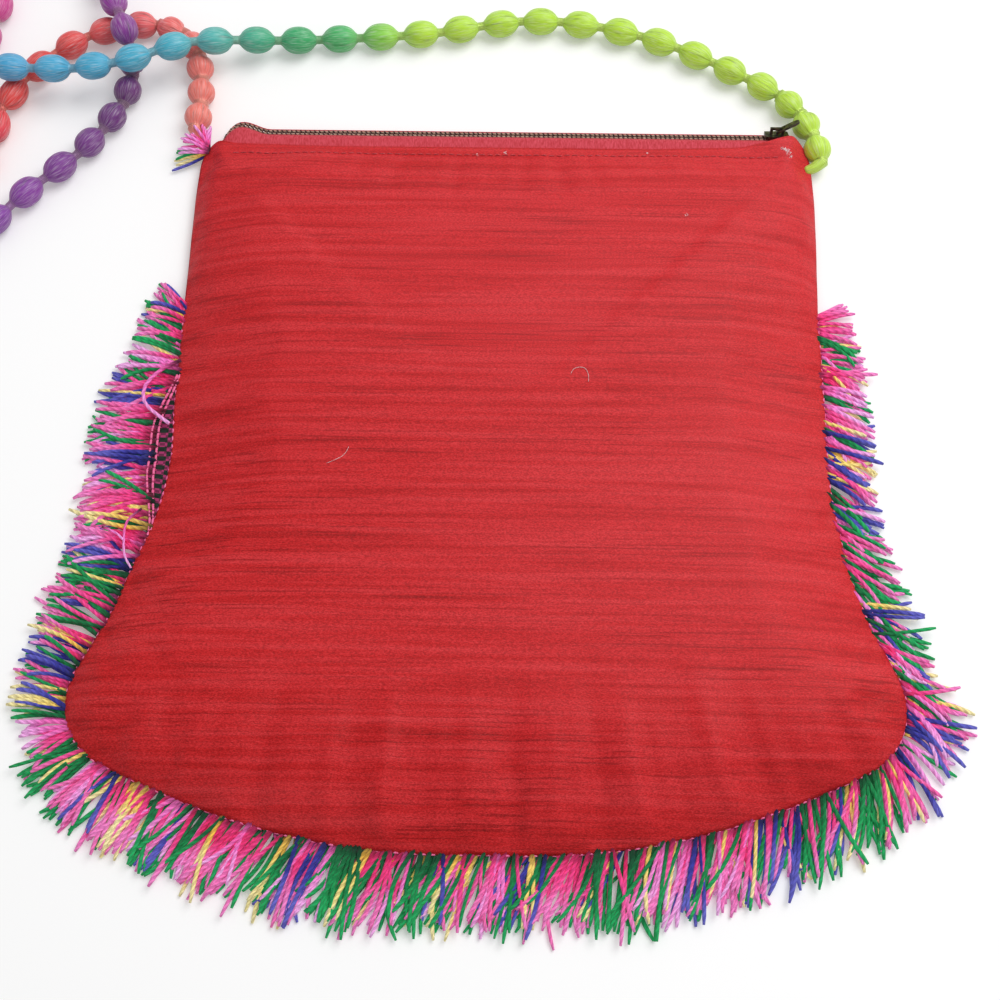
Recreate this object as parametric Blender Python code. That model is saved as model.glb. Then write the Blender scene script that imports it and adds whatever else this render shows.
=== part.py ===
"""Crossbody bag of slub silk with a zipped mouth, a yarn fringe and a beaded strap.

The bag lies on its front panel with its back panel up. +X is to the right, +Y runs from the bottom seam
to the mouth and +Z is up. The origin is on the centreline, on the underside of the front panel.
"""

import math

import bmesh
import bpy
from mathutils import Vector

# Bell outline of the body, in metres
HALF_WIDTH = 0.1035
MOUTH_Y = 0.115
BOTTOM_Y = -0.121
SIDE_LENGTH = 0.1165
FLARE_RADIUS = 0.125
CORNER_RADIUS = 0.020
BOTTOM_RADIUS = 0.278
MOUTH_CORNER_RADIUS = 0.008

# Silk panels: padded, so they roll over at the seam and stand up between
PANEL_THICKNESS = 0.001
BODY_HEIGHT = 0.014
SEAM_RISE = 0.0012
SEAM_ROLL = 0.012
MOUTH_ROLL = 0.030
RING_DEPTHS = (0, 0.0015, 0.004, 0.008, 0.014, 0.024, 0.045)
FRONT_RIM = 0.0055
FRONT_RING_DEPTHS = (0, 0.002, FRONT_RIM, 0.012)
PUCKER_DEPTH = 0.0009
PUCKER_PITCH = 0.024
PUCKER_TOP_Y = -0.072

# Lining, sewn as a bag inside the bag
LINING_THICKNESS = 0.0005
LINING_INSET = 0.006
LINING_ROLL = 0.010
LINING_GAP = 0.0004

# Fringe of yarn on a woven heading tape, caught in the seam from one side round the bottom to the other
TRIM_THICKNESS = 0.0008
TRIM_TOP_Y = 0.059
HEADING_INSIDE = 0.004
HEADING_OUTSIDE = 0.0025
TUFT_COUNT = 96
TUFT_GAP = 0.0008
TUFT_LENGTH = 0.0225
TUFT_LENGTH_SWAY = 0.0035
TUFT_TIP_WIDTH = 0.0040
TUFT_DROOP = 0.0012
TUFT_LEAN = math.radians(9)
TUFT_LEAN_STEP = 0.42
TUFT_LENGTH_STEP = 2.1

# A tuft's knee, halfway down it: its width against the root's and its share of the droop
KNEE_REACH = 0.5
KNEE_WIDTH = 1.05
KNEE_DROOP = 0.3

# Coil zip, whose plane leans from the back panel's fold down to the front panel
ZIP_TILT = math.radians(35)
ZIP_BEYOND_MOUTH = 0.0045
ZIP_HEIGHT = 0.0052
ZIP_HALF_LENGTH = 0.0965
COIL_RADIUS = 0.00065
COIL_GAP = 0.0011
TAPE_THICKNESS = 0.0005
BACK_TAPE_HEM = 0.009
FRONT_TAPE_WIDTH = 0.0023
LIP_REACH = 0.0019
LIP_HEIGHT = 0.0024

# Slider and its pull
SLIDER_X = 0.0925
SLIDER_LENGTH = 0.008
SLIDER_NOSE_WIDTH = 0.006
SLIDER_NOSE_FLAT = 0.0045
SLIDER_NOSE_BEVEL = 0.0008
SLIDER_SHOULDER = 0.003
SLIDER_TAIL_WIDTH = 0.0051
SLIDER_PLATE = 0.0007
POST_FROM_NOSE = 0.0004
POST_LENGTH = 0.0028
POST_TAPER = 0.0016
BRIDGE_LENGTH = 0.0048
BRIDGE_WIDTH = 0.001
BRIDGE_THICKNESS = 0.0008
BRIDGE_LEG = 0.0009
PULL_LENGTH = 0.0082
PULL_THICKNESS = 0.0007
PULL_ARM = 0.0007
PULL_BAR_RADIUS = 0.0004
PULL_REST_ANGLE = math.radians(28)

# Strap: a silk sleeve over beads, drawn here as a plain tube of its mean diameter
STRAP_DIAMETER = 0.0074
STRAP_STEPS = 2

# Loose yarn ends at the strap's left root
ROOT_TUFT_Y = 0.1020
ROOT_TUFT_INSIDE = 0.002
ROOT_TUFT_COUNT = 5
ROOT_TUFT_PITCH = 0.0014
ROOT_TUFT_GAP = 0.0003
ROOT_TUFT_LENGTH = 0.0095
ROOT_TUFT_TIP = 0.0007
ROOT_TUFT_SPREAD = math.radians(52)

# Gap kept between pieces that touch on the real bag
CLEARANCE = 0.0003

# Heights that follow from the layers above
TRIM_BOTTOM = SEAM_RISE + PANEL_THICKNESS + CLEARANCE
BACK_SEAM_Z = TRIM_BOTTOM + TRIM_THICKNESS + CLEARANCE + PANEL_THICKNESS
LINING_FLOOR = PANEL_THICKNESS + CLEARANCE + LINING_THICKNESS
ZIP_Y = MOUTH_Y + ZIP_BEYOND_MOUTH
COIL_OFFSET = COIL_GAP / 2 + COIL_RADIUS
TAPE_START = COIL_OFFSET + COIL_RADIUS + CLEARANCE
PLATE_INSIDE = COIL_RADIUS + CLEARANCE
PLATE_OUTSIDE = PLATE_INSIDE + SLIDER_PLATE
HINGE_LIFT = math.hypot(PULL_THICKNESS / 2, PULL_BAR_RADIUS) + CLEARANCE

# The strap's route over the table, in millimetres, from its right end to its left
STRAP_ROUTE_MM = (
    (107.8, 106.5, 4.7), (105.8, 118.5, 4.7), (98.3, 133.3, 4.7), (77.8, 147.4, 4.7),
    (46.9, 161.2, 4.7), (11.4, 167.1, 4.7), (-30.4, 161.0, 4.7), (-70.0, 158.0, 4.7),
    (-110.0, 149.8, 13.4), (-130.3, 141.9, 14.4), (-149.0, 139.2, 13.0), (-193.0, 138.5, 13.0),
    (-239.0, 130.0, 4.7), (-259.0, 103.0, 4.7), (-249.0, 73.0, 4.7), (-219.0, 61.0, 4.7),
    (-186.0, 69.5, 4.7), (-161.9, 95.1, 4.7), (-142.0, 115.5, 4.7), (-131.4, 135.5, 4.8),
    (-131.0, 149.0, 8.0), (-134.8, 161.0, 12.8), (-141.5, 176.0, 9.0), (-148.0, 199.0, 4.7),
    (-156.2, 213.3, 4.7), (-172.8, 213.3, 4.7), (-181.0, 199.0, 4.7), (-180.5, 170.0, 4.7),
    (-188.0, 145.0, 4.7), (-205.5, 129.0, 4.7), (-213.5, 110.0, 4.7), (-205.0, 94.0, 4.7),
    (-187.0, 93.5, 4.7), (-177.5, 109.0, 4.7), (-172.5, 132.0, 4.7), (-155.0, 153.5, 4.7),
    (-130.0, 163.8, 4.7), (-111.5, 157.0, 4.7), (-105.8, 135.0, 4.7), (-107.8, 113.0, 4.7),
)


def arc(centre, radius, start, end, steps):
    """Points of an arc, without its first one, so that arcs and lines chain."""
    turns = [start + (end - start) * i / steps for i in range(1, steps + 1)]
    return [(centre[0] + radius * math.cos(t), centre[1] + radius * math.sin(t)) for t in turns]


def line(start, end, steps):
    """Points of a straight run, without its first one."""
    return [
        (start[0] + (end[0] - start[0]) * i / steps, start[1] + (end[1] - start[1]) * i / steps)
        for i in range(1, steps + 1)
    ]


def bell_side(mouth_y, fine, inward):
    """Right half of the bell outline, from the middle of the mouth to the middle of the bottom."""
    half, corner_radius = HALF_WIDTH - inward, CORNER_RADIUS - inward
    flare_radius, bottom_radius = FLARE_RADIUS + inward, BOTTOM_RADIUS - inward
    mouth_radius = MOUTH_CORNER_RADIUS - inward
    flare_start = MOUTH_Y - SIDE_LENGTH
    flare_centre = Vector((HALF_WIDTH + FLARE_RADIUS, flare_start))
    bottom_centre = Vector((0, BOTTOM_Y + BOTTOM_RADIUS))
    # the corner's centre is one radius outside the flare's circle and one inside the bottom's
    to_flare = flare_radius + corner_radius
    to_bottom = bottom_radius - corner_radius
    across = bottom_centre - flare_centre
    along = (to_flare**2 - to_bottom**2 + across.length_squared) / (2 * across.length)
    aside = math.sqrt(to_flare**2 - along**2)
    way = across.normalized()
    corner = flare_centre + way * along + Vector((-way.y, way.x)) * aside
    flare_end = math.atan2(*(corner - flare_centre).yx) % math.tau
    corner_start = flare_end - math.pi
    corner_end = math.atan2(*(corner - bottom_centre).yx)
    mouth_corner = (HALF_WIDTH - MOUTH_CORNER_RADIUS, mouth_y - MOUTH_CORNER_RADIUS)
    top = mouth_y - inward
    points = [(0, top)]
    points += line((0, top), (mouth_corner[0], top), 7 * fine)
    points += arc(mouth_corner, mouth_radius, math.pi / 2, 0, 5 * fine)
    points += line((half, mouth_corner[1]), (half, flare_start), 8 * fine)
    points += arc(flare_centre, flare_radius, math.pi, flare_end, 8 * fine)
    points += arc(corner, corner_radius, corner_start, corner_end, 8 * fine)
    points += arc(bottom_centre, bottom_radius, corner_end, -math.pi / 2, 9 * fine)
    return [Vector(p) for p in points]


def bell_outline(mouth_y, fine=1, inward=0.0):
    """The whole outline, clockwise from the middle of the mouth, or a line sewn inside it."""
    right = bell_side(mouth_y, fine, inward)
    left = [Vector((-p.x, p.y)) for p in right[-2:0:-1]]
    return right + left


def inset(point, depth):
    """A point of the outline, moved straight towards the origin."""
    return point * (1 - depth / point.length)


def smoothstep(value):
    value = min(max(value, 0), 1)
    return value * value * (3 - 2 * value)


def mouth_share(point, mouth_y, inward=0.0):
    """1 along the open mouth, falling to 0 round its corners, where the side seams start."""
    if point.y < mouth_y - MOUTH_CORNER_RADIUS - CLEARANCE:
        return 0
    return smoothstep((HALF_WIDTH - inward - abs(point.x)) / (HALF_WIDTH - ZIP_HALF_LENGTH))


def finish(name, mesh, colour, roughness, metallic=0.0, parent=None):
    """Make an object of a mesh, with a material of its own."""
    thing = bpy.data.objects.new(name, mesh)
    bpy.context.collection.objects.link(thing)
    material = bpy.data.materials.new(name)
    material.use_nodes = True
    shader = material.node_tree.nodes["Principled BSDF"]
    shader.inputs["Base Color"].default_value = (*colour, 1)
    shader.inputs["Roughness"].default_value = roughness
    shader.inputs["Metallic"].default_value = metallic
    mesh.materials.append(material)
    thing.parent = parent
    return thing


def mesh_of(name, shape, smooth_angle=None):
    mesh = bpy.data.meshes.new(name)
    shape.to_mesh(mesh)
    shape.free()
    if smooth_angle is not None:
        mesh.shade_smooth()
        mesh.set_sharp_from_angle(angle=math.radians(smooth_angle))
    return mesh


def cloth_sheet(name, outline, depths, height, thickness, face_up, colour, roughness):
    """A sheet of cloth in rings from its edge to its middle, thickened away from its outer face."""
    shape = bmesh.new()
    rings = []
    for depth in depths:
        places = [inset(p, depth) for p in outline]
        rings.append(
            [shape.verts.new((q.x, q.y, height(p, depth))) for p, q in zip(outline, places)]
        )
    middle = shape.verts.new((0, 0, height(outline[0], outline[0].length)))
    for outer, inner in zip(rings, rings[1:]):
        for i in range(len(outline)):
            shape.faces.new((outer[i - 1], outer[i], inner[i], inner[i - 1]))
    for i in range(len(outline)):
        shape.faces.new((rings[-1][i - 1], rings[-1][i], middle))
    shape.normal_update()
    if (middle.normal.z > 0) != face_up:
        bmesh.ops.reverse_faces(shape, faces=shape.faces)
    thing = finish(name, mesh_of(name, shape, 60), colour, roughness)
    wall = thing.modifiers.new("wall", "SOLIDIFY")
    wall.thickness = thickness
    wall.offset = -1
    wall.use_even_offset = True
    return thing


def rolled_height(edge, mouth, crown, roll, inward=0.0):
    """Height of a padded sheet: it rolls up from its seam, and slopes up gently from the mouth."""

    def height(point, depth):
        share = mouth_share(point, MOUTH_Y, inward)
        side = edge + (crown - edge) * (1 - math.exp(-depth / roll))
        open_end = mouth + (crown - mouth) * (1 - math.exp(-depth / MOUTH_ROLL))
        return side + (open_end - side) * share

    return height


def tape_line(across, above=0.0):
    """A place on the zip's plane: across from the chain's middle, and above the tape's middle."""
    return Vector(
        (
            ZIP_Y + across * math.cos(ZIP_TILT) + above * math.sin(ZIP_TILT),
            ZIP_HEIGHT - across * math.sin(ZIP_TILT) + above * math.cos(ZIP_TILT),
        )
    )


def back_mouth_z():
    """Height of the back panel's inner face at the mouth, where it lies over the zip's tape."""
    above = TAPE_THICKNESS / 2 + CLEARANCE
    across = (ZIP_BEYOND_MOUTH + above * math.sin(ZIP_TILT)) / math.cos(ZIP_TILT)
    return tape_line(-across, above).y


def make_panels():
    """The back and front panels, in red slub silk."""
    silk = (0.58, 0.025, 0.032)
    mouth_z = back_mouth_z() + PANEL_THICKNESS
    smooth = rolled_height(BACK_SEAM_Z, mouth_z, BODY_HEIGHT, SEAM_ROLL)

    def puckered(point, depth):
        """The bottom seam draws the silk into shallow puckers, which fade out above the seam."""
        along_bottom = smoothstep((PUCKER_TOP_Y - point.y) / SEAM_ROLL)
        fade = along_bottom * smoothstep((HALF_WIDTH - abs(point.x)) / SEAM_ROLL)
        near_seam = depth / SEAM_ROLL * math.exp(1 - depth / SEAM_ROLL)
        wave = 0.5 - 0.5 * math.cos(math.tau * point.x / PUCKER_PITCH)
        return smooth(point, depth) - PUCKER_DEPTH * fade * near_seam * wave

    cloth_sheet(
        "back_panel", bell_outline(MOUTH_Y), RING_DEPTHS, puckered, PANEL_THICKNESS, True, silk, 0.45
    )

    front_mouth_y = tape_line(TAPE_START + FRONT_TAPE_WIDTH).x + LIP_REACH

    def front_height(point, depth):
        rim = SEAM_RISE + (LIP_HEIGHT - SEAM_RISE) * mouth_share(point, front_mouth_y)
        return rim * max(0, 1 - depth / FRONT_RIM) ** 2

    cloth_sheet(
        "front_panel", bell_outline(front_mouth_y), FRONT_RING_DEPTHS, front_height, PANEL_THICKNESS,
        False, silk, 0.45,
    )


def make_linings():
    """The lining's two halves, which meet at a seam of their own inside the silk's."""
    cotton = (0.30, 0.03, 0.035)
    crown = BODY_HEIGHT - PANEL_THICKNESS - LINING_GAP
    under_hem = back_mouth_z() - TAPE_THICKNESS - 2 * CLEARANCE
    mouth_z = crown - (crown - under_hem) / math.exp(-LINING_INSET / MOUTH_ROLL)
    edge = LINING_FLOOR + CLEARANCE + LINING_THICKNESS
    outline = bell_outline(MOUTH_Y, inward=LINING_INSET)
    height = rolled_height(edge, mouth_z, crown, LINING_ROLL, LINING_INSET)
    depths = [0] + [d - LINING_INSET for d in RING_DEPTHS if d > LINING_INSET]
    cloth_sheet("back_lining", outline, depths, height, LINING_THICKNESS, True, cotton, 0.8)

    cloth_sheet(
        "front_lining", outline, (0, LINING_ROLL), lambda point, depth: PANEL_THICKNESS + CLEARANCE,
        LINING_THICKNESS, False, cotton, 0.8,
    )


def comb(name, path, count, gap, inside, outside, bottom, thick, length, tip, droop, lean, colour):
    """A heading tape with one tapered tuft of yarn after another along its outer edge.

    path(share) gives a place on the seam and its outward direction, and length(share) a tuft's length.
    """
    shape = bmesh.new()
    stations = []
    for i in range(count):
        for side in (gap / 2, 1 - gap / 2):
            place, out = path((i + side) / count)
            low = [place - out * inside, place + out * outside]
            stations.append(
                [shape.verts.new((p.x, p.y, z)) for z in (bottom, bottom + thick) for p in low]
            )
    tufts = []
    for i, (near, far) in enumerate(zip(stations, stations[1:])):
        shape.faces.new((near[0], near[1], far[1], far[0]))
        shape.faces.new((near[2], far[2], far[3], near[3]))
        shape.faces.new((near[0], far[0], far[2], near[2]))
        outer = shape.faces.new((near[1], near[3], far[3], far[1]))
        if i % 2 == 0:
            tufts.append((outer, (i // 2 + 0.5) / count))
    shape.faces.new((stations[0][0], stations[0][2], stations[0][3], stations[0][1]))
    shape.faces.new((stations[-1][0], stations[-1][1], stations[-1][3], stations[-1][2]))
    for face, share in tufts:
        place, out = path(share)
        turn = lean(share)
        way = Vector(
            (
                out.x * math.cos(turn) - out.y * math.sin(turn),
                out.x * math.sin(turn) + out.y * math.cos(turn),
            )
        )
        aside = Vector((-way.y, way.x))
        root = place + out * outside
        half = (face.verts[0].co.xy - face.verts[-1].co.xy).length / 2
        for reach, width, fall in ((KNEE_REACH, half * KNEE_WIDTH, KNEE_DROOP), (1, tip / 2, 1)):
            face = bmesh.ops.extrude_discrete_faces(shape, faces=[face])["faces"][0]
            middle_z = face.calc_center_median().z
            for vert in face.verts:
                side = math.copysign(width, (vert.co.xy - root).dot(aside))
                flat = root + way * (length(share) * reach) + aside * side
                vert.co = (*flat, bottom + (thick if vert.co.z > middle_z else 0) - droop * fall)
    bmesh.ops.recalc_face_normals(shape, faces=shape.faces)
    return finish(name, mesh_of(name, shape), colour, 0.95)


def seam_path(outline, start, end):
    """Part of an outline as a function from 0 to 1, of place and outward direction, and its length."""
    steps = [0.0]
    for a, b in zip(outline, outline[1:]):
        steps.append(steps[-1] + (b - a).length)

    def nearest(target):
        return min(range(len(outline)), key=lambda i: (outline[i] - target).length)

    first, last = steps[nearest(start)], steps[nearest(end)]

    def path(share):
        reach = first + (last - first) * share
        i = max(k for k in range(len(steps) - 1) if steps[k] <= reach)
        run = outline[i + 1] - outline[i]
        place = outline[i] + run * ((reach - steps[i]) / run.length)
        return place, Vector((-run.y, run.x)).normalized()

    return path, last - first


def make_fringe():
    """The fringe: mixed yarn tufts on the heading tape that is caught between the panels."""
    outline = bell_outline(MOUTH_Y, fine=4)
    path, seam = seam_path(
        outline, Vector((HALF_WIDTH, TRIM_TOP_Y)), Vector((-HALF_WIDTH, TRIM_TOP_Y))
    )

    def length(share):
        return TUFT_LENGTH + TUFT_LENGTH_SWAY * math.sin(share * TUFT_COUNT * TUFT_LENGTH_STEP)

    def lean(share):
        return TUFT_LEAN * math.sin(share * TUFT_COUNT * TUFT_LEAN_STEP)

    comb(
        "fringe_trim", path, TUFT_COUNT, TUFT_GAP * TUFT_COUNT / seam, HEADING_INSIDE,
        HEADING_OUTSIDE, TRIM_BOTTOM, TRIM_THICKNESS, length, TUFT_TIP_WIDTH, TUFT_DROOP, lean,
        (0.75, 0.13, 0.42),
    )


def make_root_tuft():
    """Loose yarn ends caught in the left side seam, under the end of the strap."""
    half = ROOT_TUFT_COUNT * ROOT_TUFT_PITCH / 2

    def path(share):
        return Vector((-HALF_WIDTH, ROOT_TUFT_Y + half * (1 - 2 * share))), Vector((-1, 0))

    comb(
        "root_tuft", path, ROOT_TUFT_COUNT, ROOT_TUFT_GAP / ROOT_TUFT_PITCH, ROOT_TUFT_INSIDE,
        HEADING_OUTSIDE, TRIM_BOTTOM, TRIM_THICKNESS, lambda share: ROOT_TUFT_LENGTH, ROOT_TUFT_TIP,
        TUFT_DROOP, lambda share: ROOT_TUFT_SPREAD * (share - 0.5), (0.75, 0.13, 0.42),
    )


def strip(name, stations, colour):
    """A tape from one edge to the other: each station is a place over, one under, and a half-length."""
    shape = bmesh.new()
    rows = [
        [shape.verts.new((side * half, *place)) for side in (-1, 1) for place in (over, under)]
        for over, under, half in stations
    ]
    for a, b in zip(rows, rows[1:]):
        for i, j in ((0, 2), (3, 1), (1, 0), (2, 3)):
            shape.faces.new((a[i], a[j], b[j], b[i]))
    for row in (rows[0], rows[-1]):
        shape.faces.new((row[0], row[2], row[3], row[1]))
    bmesh.ops.recalc_face_normals(shape, faces=shape.faces)
    return finish(name, mesh_of(name, shape), colour, 0.7)


def make_tapes():
    """The zip's tapes: one hemmed under the back panel, with mitred ends, one in the front panel's lip."""
    cloth = (0.48, 0.03, 0.04)
    half = TAPE_THICKNESS / 2
    level = back_mouth_z() - CLEARANCE - half
    fold = (ZIP_HEIGHT - level) / math.sin(ZIP_TILT)
    # the tape keeps its thickness round the fold, so its faces turn at the bisector of the two runs
    slip = half * math.tan(ZIP_TILT / 2)
    knee = tape_line(fold)
    hem_y = MOUTH_Y - BACK_TAPE_HEM
    strip(
        "zip_tape_back",
        [
            (tape_line(-TAPE_START, half), tape_line(-TAPE_START, -half), ZIP_HALF_LENGTH),
            ((knee.x + slip, level + half), (knee.x - slip, level - half), ZIP_HALF_LENGTH),
            ((hem_y, level + half), (hem_y, level - half), ZIP_HALF_LENGTH - BACK_TAPE_HEM),
        ],
        cloth,
    )
    ends = (TAPE_START, TAPE_START + FRONT_TAPE_WIDTH)
    strip(
        "zip_tape_front",
        [(tape_line(across, half), tape_line(across, -half), ZIP_HALF_LENGTH) for across in ends],
        cloth,
    )


def rod(name, radius, length, place, turn, sides, colour, roughness, metallic, parent):
    shape = bmesh.new()
    bmesh.ops.create_cone(
        shape, cap_ends=True, segments=sides, radius1=radius, radius2=radius, depth=length
    )
    thing = finish(name, mesh_of(name, shape, 50), colour, roughness, metallic, parent)
    thing.location = place
    thing.rotation_euler = turn
    return thing


def prism(name, outline, low, high, colour, parent, metallic=1.0):
    """A flat outline in the zip's plane, extruded between two heights over it."""
    shape = bmesh.new()
    face = shape.faces.new([shape.verts.new((*p, low)) for p in outline])
    moved = bmesh.ops.extrude_face_region(shape, geom=[face])["geom"]
    verts = [v for v in moved if isinstance(v, bmesh.types.BMVert)]
    bmesh.ops.translate(shape, verts=verts, vec=(0, 0, high - low))
    bmesh.ops.recalc_face_normals(shape, faces=shape.faces)
    return finish(name, mesh_of(name, shape), colour, 0.35, metallic, parent)


def box_outline(left, right, half):
    return [(left, -half), (right, -half), (right, half), (left, half)]


def combine(target, tool, operation):
    """Join a tool shape to a piece, or cut it away, and keep the tool only as a guide."""
    step = target.modifiers.new(tool.name, "BOOLEAN")
    step.operation = operation
    step.solver = "EXACT"
    step.object = tool
    tool.hide_render = True
    tool.display_type = "WIRE"


def make_slider(plane):
    """The slider: two plates over the coils, joined by a post between them, with a bridge on top."""
    brass = (0.55, 0.40, 0.20)
    back, nose = -SLIDER_LENGTH / 2, SLIDER_LENGTH / 2
    wide, tail, flat = SLIDER_NOSE_WIDTH / 2, SLIDER_TAIL_WIDTH / 2, SLIDER_NOSE_FLAT / 2
    shoulder, bevel = nose - SLIDER_SHOULDER, nose - SLIDER_NOSE_BEVEL
    shield = [
        (back, -tail), (shoulder, -wide), (bevel, -wide), (nose, -flat),
        (nose, flat), (bevel, wide), (shoulder, wide), (back, tail),
    ]
    slider = prism("zip_slider", shield, -PLATE_OUTSIDE, PLATE_OUTSIDE, brass, plane)
    channel = COIL_OFFSET + COIL_RADIUS + CLEARANCE
    slot = TAPE_THICKNESS / 2 + CLEARANCE
    hinge = PLATE_OUTSIDE + HINGE_LIFT
    hole_top = hinge + PULL_BAR_RADIUS + CLEARANCE
    post = COIL_GAP / 2 - CLEARANCE
    reach = SLIDER_LENGTH
    post_front = nose - POST_FROM_NOSE
    widest = post_front - POST_TAPER
    lozenge = [(post_front - POST_LENGTH, 0), (widest, -post), (post_front, 0), (widest, post)]
    half_bridge = BRIDGE_LENGTH / 2
    grip = SLIDER_PLATE / 2
    tools = (
        ("coil_channel", box_outline(-reach, reach, channel), -PLATE_INSIDE, PLATE_INSIDE, "DIFFERENCE"),
        ("tape_slot", box_outline(-reach, reach, reach), -slot, slot, "DIFFERENCE"),
        ("post", lozenge, -PLATE_INSIDE - grip, PLATE_INSIDE + grip, "UNION"),
        (
            "bridge", box_outline(-half_bridge, half_bridge, BRIDGE_WIDTH / 2),
            PLATE_OUTSIDE - grip, hole_top + BRIDGE_THICKNESS, "UNION",
        ),
        (
            "bridge_hole", box_outline(BRIDGE_LEG - half_bridge, half_bridge - BRIDGE_LEG, BRIDGE_WIDTH),
            PLATE_OUTSIDE, hole_top, "DIFFERENCE",
        ),
    )
    slider.location.x = SLIDER_X
    for name, outline, low, high, operation in tools:
        tool = prism("shape_" + name, outline, low, high, brass, plane)
        tool.location.x = SLIDER_X
        combine(slider, tool, operation)


def make_pull(plane):
    """The pull: a tab whose eye straddles the bridge, with its bar through the bridge's hole."""
    brass = (0.55, 0.40, 0.20)
    hinge = (SLIDER_X, 0, PLATE_OUTSIDE + HINGE_LIFT)
    inner = BRIDGE_WIDTH / 2 + CLEARANCE
    outer = inner + PULL_ARM
    rise = PULL_BAR_RADIUS + CLEARANCE + BRIDGE_THICKNESS
    eye_end = math.hypot(BRIDGE_LENGTH / 2, rise) + CLEARANCE
    round_start = PULL_LENGTH - outer
    end = arc((round_start, 0), outer, -math.pi / 2, math.pi / 2, 8)
    half = PULL_THICKNESS / 2
    outline = [(-half, -outer), (round_start, -outer), *end, (-half, outer)]
    pull = prism("zip_pull", outline, -half, half, brass, plane)
    eye = prism("shape_eye", box_outline(-3 * half, eye_end, inner), -3 * half, 3 * half, brass, plane)
    bar = rod(
        "shape_bar", PULL_BAR_RADIUS, 2 * inner + PULL_ARM, hinge, (math.pi / 2, 0, 0), 12, brass, 0.35,
        1.0, plane,
    )
    for thing in (pull, eye):
        thing.location = hinge
        thing.rotation_euler = (0, -PULL_REST_ANGLE, 0)
    combine(pull, eye, "DIFFERENCE")
    combine(pull, bar, "UNION")


def make_zip():
    """The zip at the mouth: tapes, the two coils on their edges, the slider and its pull."""
    make_tapes()
    plane = bpy.data.objects.new("zip_plane", None)
    bpy.context.collection.objects.link(plane)
    plane.location = (0, ZIP_Y, ZIP_HEIGHT)
    plane.rotation_euler = (-ZIP_TILT, 0, 0)
    for name, side in (("zip_coil_back", -1), ("zip_coil_front", 1)):
        rod(
            name, COIL_RADIUS, 2 * ZIP_HALF_LENGTH, (0, side * COIL_OFFSET, 0), (0, math.pi / 2, 0), 8,
            (0.16, 0.09, 0.06), 0.5, 0.0, plane,
        )
    make_slider(plane)
    make_pull(plane)


def smooth_route(points, steps):
    """Points on a centripetal Catmull-Rom curve through the route's own points."""
    route = [Vector(p) for p in points]
    route = [2 * route[0] - route[1], *route, 2 * route[-1] - route[-2]]
    smooth = [route[1]]
    for a, b, c, d in zip(route, route[1:], route[2:], route[3:]):
        knots = [0.0]
        for p, q in ((a, b), (b, c), (c, d)):
            knots.append(knots[-1] + math.sqrt((q - p).length))
        t0, t1, t2, t3 = knots
        for i in range(1, steps + 1):
            t = t1 + (t2 - t1) * i / steps
            ab = a * ((t1 - t) / (t1 - t0)) + b * ((t - t0) / (t1 - t0))
            bc = b * ((t2 - t) / (t2 - t1)) + c * ((t - t1) / (t2 - t1))
            cd = c * ((t3 - t) / (t3 - t2)) + d * ((t - t2) / (t3 - t2))
            abc = ab * ((t2 - t) / (t2 - t0)) + bc * ((t - t0) / (t2 - t0))
            bcd = bc * ((t3 - t) / (t3 - t1)) + cd * ((t - t1) / (t3 - t1))
            smooth.append(abc * ((t2 - t) / (t2 - t1)) + bcd * ((t - t1) / (t2 - t1)))
    return smooth


def make_strap():
    """The strap, loose on the table, with both ends at the side seams just under the mouth."""
    curve = bpy.data.curves.new("strap", "CURVE")
    curve.dimensions = "3D"
    curve.bevel_depth = STRAP_DIAMETER / 2
    curve.bevel_resolution = 2
    curve.use_fill_caps = True
    route = smooth_route([Vector(p) / 1000 for p in STRAP_ROUTE_MM], STRAP_STEPS)
    spline = curve.splines.new("POLY")
    spline.points.add(len(route) - 1)
    for point, place in zip(spline.points, route):
        point.co = (*place, 1)
    finish("strap", curve, (0.35, 0.55, 0.10), 0.4)


for old in list(bpy.data.objects):
    bpy.data.objects.remove(old)

make_panels()
make_linings()
make_fringe()
make_root_tuft()
make_zip()
make_strap()
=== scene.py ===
"""Looks of the crossbody bag: silk panels, lining, zip, yarn fringe and beaded strap, over its CAD frame."""

import math

import bpy
import numpy as np
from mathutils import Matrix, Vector
from mathutils.bvhtree import BVHTree


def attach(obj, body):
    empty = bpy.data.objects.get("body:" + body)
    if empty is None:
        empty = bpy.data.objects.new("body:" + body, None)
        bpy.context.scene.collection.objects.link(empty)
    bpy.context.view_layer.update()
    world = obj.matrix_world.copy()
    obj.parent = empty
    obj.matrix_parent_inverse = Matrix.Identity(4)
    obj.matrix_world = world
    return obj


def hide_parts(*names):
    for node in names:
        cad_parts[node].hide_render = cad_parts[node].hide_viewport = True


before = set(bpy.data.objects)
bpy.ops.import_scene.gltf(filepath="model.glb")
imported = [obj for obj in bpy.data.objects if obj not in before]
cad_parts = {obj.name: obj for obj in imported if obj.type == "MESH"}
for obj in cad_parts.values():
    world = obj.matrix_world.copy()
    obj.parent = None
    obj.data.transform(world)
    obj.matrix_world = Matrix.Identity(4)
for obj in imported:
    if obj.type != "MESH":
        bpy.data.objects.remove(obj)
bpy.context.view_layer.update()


# Table, lamps and camera. The bag lies on a plain white table under soft studio light from the upper
# right, and the camera looks down on it at 70 degrees, as the photograph does.
TABLE_SIZE = 6.0
WHITE = "EEEEEE"
TABLE_GLOW = 0.2
CAMERA_PLACE = (0.0021, -0.1736, 0.4454)
CAMERA_TARGET = (-0.0002, -0.0115, 0.0)
LENS_MM = 54
LAMP_PLACE = (0.55, 0.45, 1.05)
LAMP_SIZE = 0.9
LAMP_WATTS = 10.0
SKY_STRENGTH = 0.52


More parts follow.
